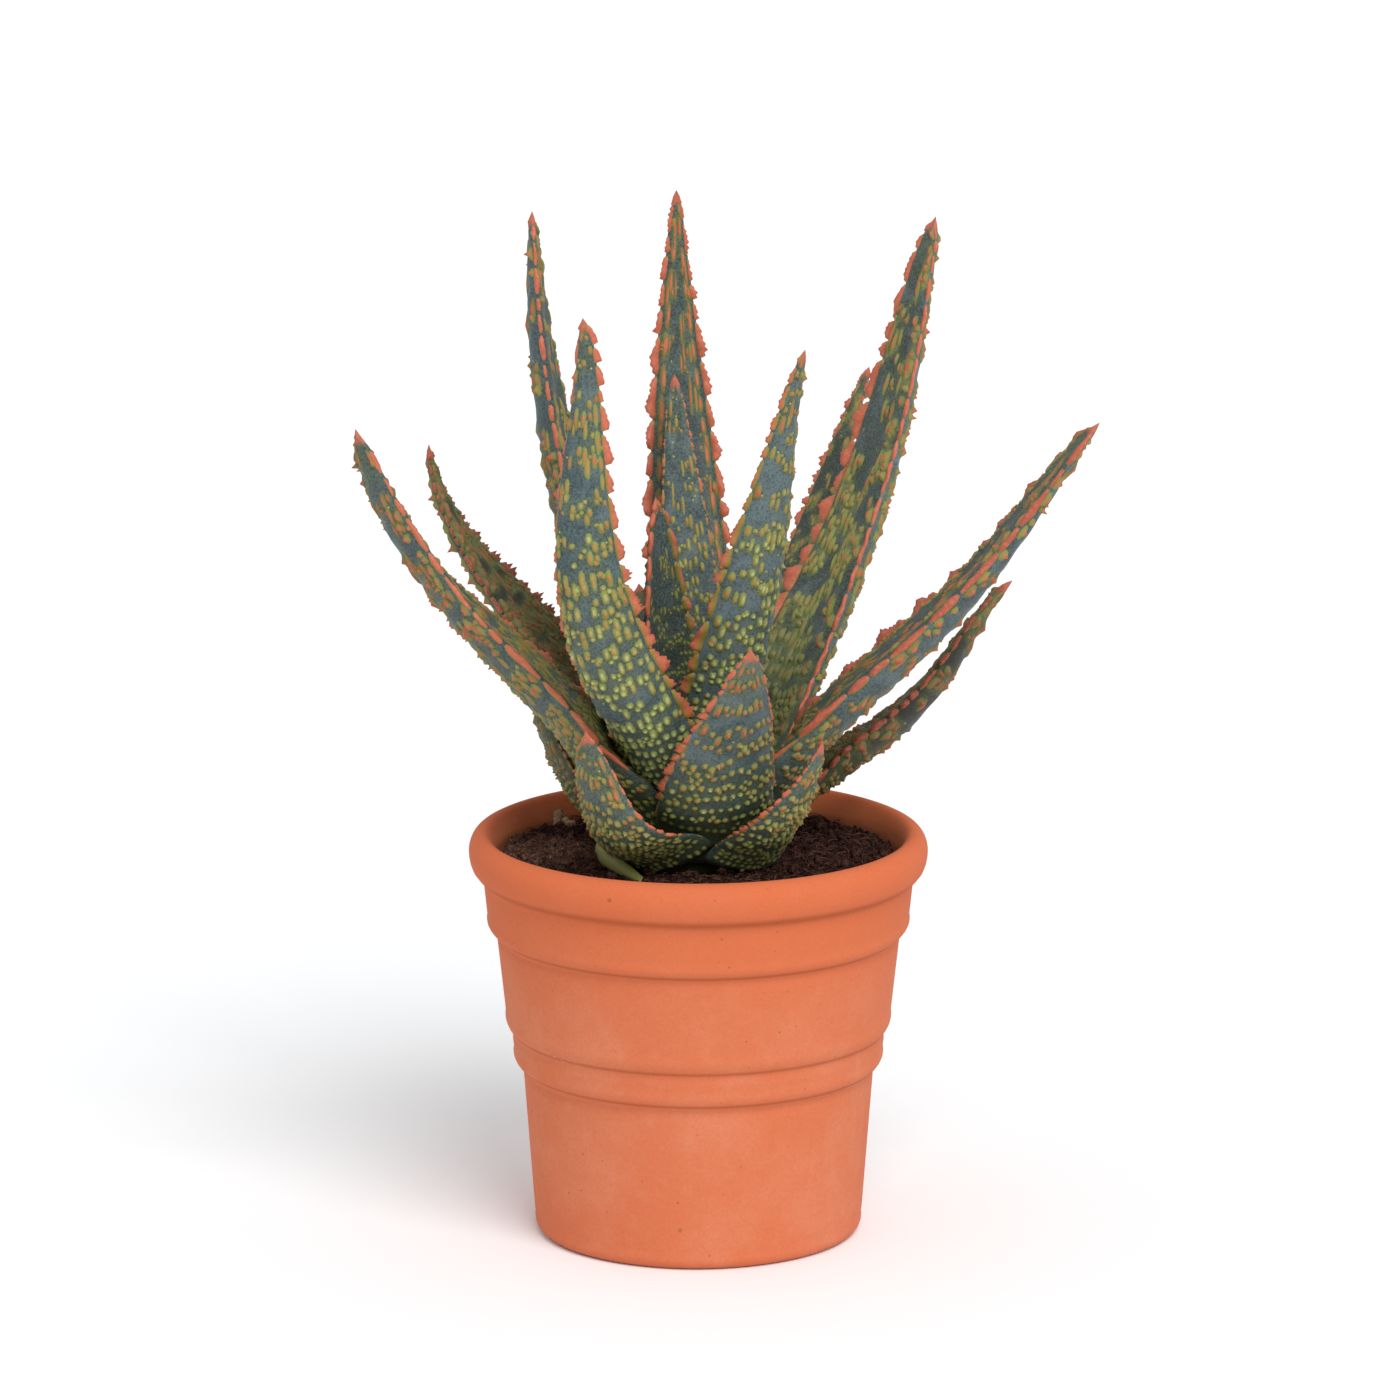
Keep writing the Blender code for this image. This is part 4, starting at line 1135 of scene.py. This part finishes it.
class MakeSoil(PieceOperator, bpy.types.Operator):
    """Heap the potting mix: clods, loose crumbs and fibres"""
    bl_idname = "potted_aloe.make_soil"
    bl_label = "Soil"

    def execute(self, context):
        look = context.scene.aloe_soil
        rng = np.random.default_rng(7)
        rings = round((SOIL_EDGE_RADIUS - SOIL_HOLE_RADIUS) / SOIL_RING_STEP) + 1
        radii = np.linspace(SOIL_HOLE_RADIUS, SOIL_EDGE_RADIUS, rings)
        angles = np.linspace(0, 2 * np.pi, SOIL_STEPS, endpoint=False)
        x = radii[:, None] * np.cos(angles)
        y = radii[:, None] * np.sin(angles)
        bed = np.stack([x, y, self.bed(x, y, rng, look.clods)], axis=-1)
        under = ((SOIL_EDGE_RADIUS - 0.4, SOIL_LEVEL - 7.0),
                 (FLOOR_RADIUS - 0.6, FLOOR_THICKNESS + FLOOR_ROUND + 1.0),
                 (FLOOR_RADIUS - FLOOR_ROUND - 1.0, FLOOR_THICKNESS + 0.3),
                 (SOIL_HOLE_RADIUS, FLOOR_THICKNESS + 0.3))
        shell = np.stack([ring(SOIL_HOLE_RADIUS, angles, HOLE_FLOOR), *bed,
                          *(ring(radius, angles, height) for radius, height in under)])
        points = [shell.reshape(-1, 3)]
        faces = ring_faces(len(shell), SOIL_STEPS, capped=True)
        tones = [np.zeros(len(points[0]))]
        for loose in (self.crumbs(bed, rng, look), self.fibres(bed, rng, look)):
            for piece_points, piece_faces, tone in loose:
                first = sum(len(p) for p in points)
                points.append(piece_points)
                faces += [[i + first for i in face] for face in piece_faces]
                tones.append(np.full(len(piece_points), tone))
        add_piece("potting_soil", "soil", np.vstack(points), faces, (potting_soil(look),),
                  {"tone": np.concatenate(tones)})
        return {"FINISHED"}

    def bed(self, x, y, rng, clods):
        """Height of the soil: a low heap with rounded clods and hollows between them."""
        radius = np.hypot(x, y)
        spread = smooth((radius - FLAT_SOIL_RADIUS) / FLAT_SOIL_FADE)
        away = (x - MOUND_PLACE[0]) ** 2 + (y - MOUND_PLACE[1]) ** 2
        heap = MOUND_HEIGHT * np.exp(-away / MOUND_SPREAD)
        clod = np.full(x.shape, -1.6)
        for _ in range(clods):
            r = rng.uniform(0.6, 1.2) if rng.random() < 0.90 else rng.uniform(1.4, 3.2)
            at = rng.uniform(SOIL_HOLE_RADIUS + 6, SOIL_EDGE_RADIUS)
            turn = rng.uniform(0, 2 * np.pi)
            lift = rng.uniform(-0.9, 0.5)
            away = ((x - at * np.cos(turn)) ** 2 + (y - at * np.sin(turn)) ** 2) / r ** 2
            near = away < 1
            clod[near] = np.maximum(clod[near], lift + 0.62 * r * np.sqrt(1 - away[near]) - 0.9)
        clod += rng.normal(0, 0.22, x.shape)
        edge = smooth((radius - SOIL_HOLE_RADIUS - 8) / 6)
        return SOIL_LEVEL + heap * spread + clod * edge * 0.9 + 0.4 * edge

    def crumbs(self, bed, rng, look):
        """Small rough lumps lying on the bed: points, faces and tone of each."""
        bpy.ops.mesh.primitive_ico_sphere_add(subdivisions=2, radius=1.0)
        ball = bpy.context.object
        shape = np.array([v.co for v in ball.data.vertices])
        faces = [list(p.vertices) for p in ball.data.polygons]
        bpy.data.objects.remove(ball)
        rows = len(bed)
        for i in range(look.crumbs):
            seat = bed[rng.integers(int(rows * OPEN_SOIL_SHARE), rows - 1), rng.integers(0, SOIL_STEPS)]
            r = min(0.35 + rng.exponential(0.32), 1.8)
            rough = 1 + rng.normal(0, 0.20, len(shape))
            stretch = rng.uniform(0.7, 1.3, 3)
            tone = rng.uniform(0, 1.0)
            if i < len(LUMP_PLACES):
                seat, r, tone, stretch = np.array(LUMP_PLACES[i]), rng.uniform(1.2, 2.0), LUMP_TONE, 1.0
            yield shape * rough[:, None] * stretch * r + seat + (0, 0, 0.35 * r), faces, tone

    def fibres(self, bed, rng, look):
        """Short thin curved fibres lying on the bed: points, faces and tone of each."""
        rows = len(bed)
        faces = ring_faces(FIBRE_RINGS, 4, capped=True)
        for _ in range(look.fibres):
            seat = bed[rng.integers(int(rows * OPEN_SOIL_SHARE), rows - 3), rng.integers(0, SOIL_STEPS)]
            heading = rng.uniform(0, 2 * np.pi)
            long = rng.uniform(1.2, 4.2)
            q = np.linspace(-0.5, 0.5, FIBRE_RINGS)
            turn = heading + rng.uniform(-1.5, 1.5) * q
            rise = 0.9 + rng.uniform(-0.3, 0.5) * q * long - 1.2 * q * q
            along = np.stack([np.cos(turn) * q * long, np.sin(turn) * q * long, rise], axis=-1)
            thick = rng.uniform(0.10, 0.18)
            side = np.array([-math.sin(heading), math.cos(heading), 0]) * thick
            up = np.array([0, 0, thick])
            points = along[:, None, :] + seat + np.array([up, side, -up, -side])
            yield points.reshape(-1, 3), faces, rng.choice([0.9, 2.0, 2.0])


class MakeStem(PieceOperator, bpy.types.Operator):
    """Give the short stem its skin"""
    bl_idname = "potted_aloe.make_stem"
    bl_label = "Stem"

    def execute(self, context):
        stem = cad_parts["stem"]
        stem.data.materials.clear()
        stem.data.materials.append(stem_skin(context.scene.aloe_leaf))
        return {"FINISHED"}


class MakeLeaves(PieceOperator, bpy.types.Operator):
    """Grow every leaf with its spots and its horny margins"""
    bl_idname = "potted_aloe.make_leaves"
    bl_label = "Leaves"

    def execute(self, context):
        scene = context.scene
        skin = leaf_skin(scene.aloe_leaf)
        lobe = horn(scene.aloe_horn)
        for row in LEAVES:
            make_leaf(Leaf(row), scene.aloe_leaf, scene.aloe_horn, skin, lobe)
        return {"FINISHED"}


class MakeStage(PieceOperator, bpy.types.Operator):
    """Set up the pale floor, the soft light and the camera"""
    bl_idname = "potted_aloe.make_stage"
    bl_label = "Studio"

    def execute(self, context):
        scene = context.scene
        look = scene.aloe_stage
        bpy.ops.mesh.primitive_plane_add(size=24.0, location=(0, 0, 0))
        floor = bpy.context.object
        floor.name = "floor"
        paint = Finish("floor paint").surface(Base_Color=look.floor, Roughness=1.0, Specular_IOR_Level=0.0)
        floor.data.materials.append(paint)
        scene.world = bpy.data.worlds.new("studio")
        scene.world.use_nodes = True
        sky = scene.world.node_tree.nodes["Background"]
        sky.inputs["Color"].default_value = (*look.haze, 1.0)
        sky.inputs["Strength"].default_value = look.sky
        self.lamp(scene, look)
        self.camera(scene)
        scene.view_settings.view_transform = "Standard"
        return {"FINISHED"}

    def lamp(self, scene, look):
        """A very soft key light from the front, above and a little to the right."""
        light = bpy.data.lights.new("key light", "SUN")
        light.energy = look.key
        light.angle = look.spread
        lamp = bpy.data.objects.new("key light", light)
        lamp.location = KEY_PLACE
        lamp.rotation_euler = (-Vector(KEY_PLACE)).to_track_quat("-Z", "Y").to_euler()
        scene.collection.objects.link(lamp)

    def camera(self, scene):
        """A long lens, a little above the rim."""
        lens = bpy.data.cameras.new("camera")
        lens.sensor_width = SENSOR_WIDTH
        lens.lens = SENSOR_WIDTH * FOCAL_PIXELS / FRAME_PIXELS
        camera = bpy.data.objects.new("camera", lens)
        camera.location = CAMERA_PLACE
        camera.rotation_euler = (math.radians(90 - CAMERA_PITCH), 0, 0)
        scene.collection.objects.link(camera)
        scene.camera = camera


class ALOE_PT_panel(bpy.types.Panel):
    """The steps that build the plant, in order"""
    bl_label = "Potted aloe"
    bl_idname = "ALOE_PT_panel"
    bl_space_type = "VIEW_3D"
    bl_region_type = "UI"
    bl_category = "Aloe"

    def draw(self, context):
        for maker in MAKERS:
            self.layout.operator(maker.bl_idname)


LOOKS = {"aloe_pot": PotLook, "aloe_soil": SoilLook, "aloe_leaf": LeafLook, "aloe_horn": HornLook,
         "aloe_stage": StageLook}
MAKERS = (MakeStage, MakePot, MakeSoil, MakeStem, MakeLeaves)


def register():
    """Register the settings, the operators and the panel."""
    for name, group in LOOKS.items():
        bpy.utils.register_class(group)
        setattr(bpy.types.Scene, name, bpy.props.PointerProperty(type=group))
    for maker in (*MAKERS, ALOE_PT_panel):
        bpy.utils.register_class(maker)


def unregister():
    """Take them out again."""
    for maker in (ALOE_PT_panel, *reversed(MAKERS)):
        bpy.utils.unregister_class(maker)
    for name, group in reversed(LOOKS.items()):
        delattr(bpy.types.Scene, name)
        bpy.utils.unregister_class(group)


def main():
    """Build everything."""
    register()
    for maker in MAKERS:
        group, name = maker.bl_idname.split(".")
        getattr(getattr(bpy.ops, group), name)()


if __name__ == "__main__":
    main()
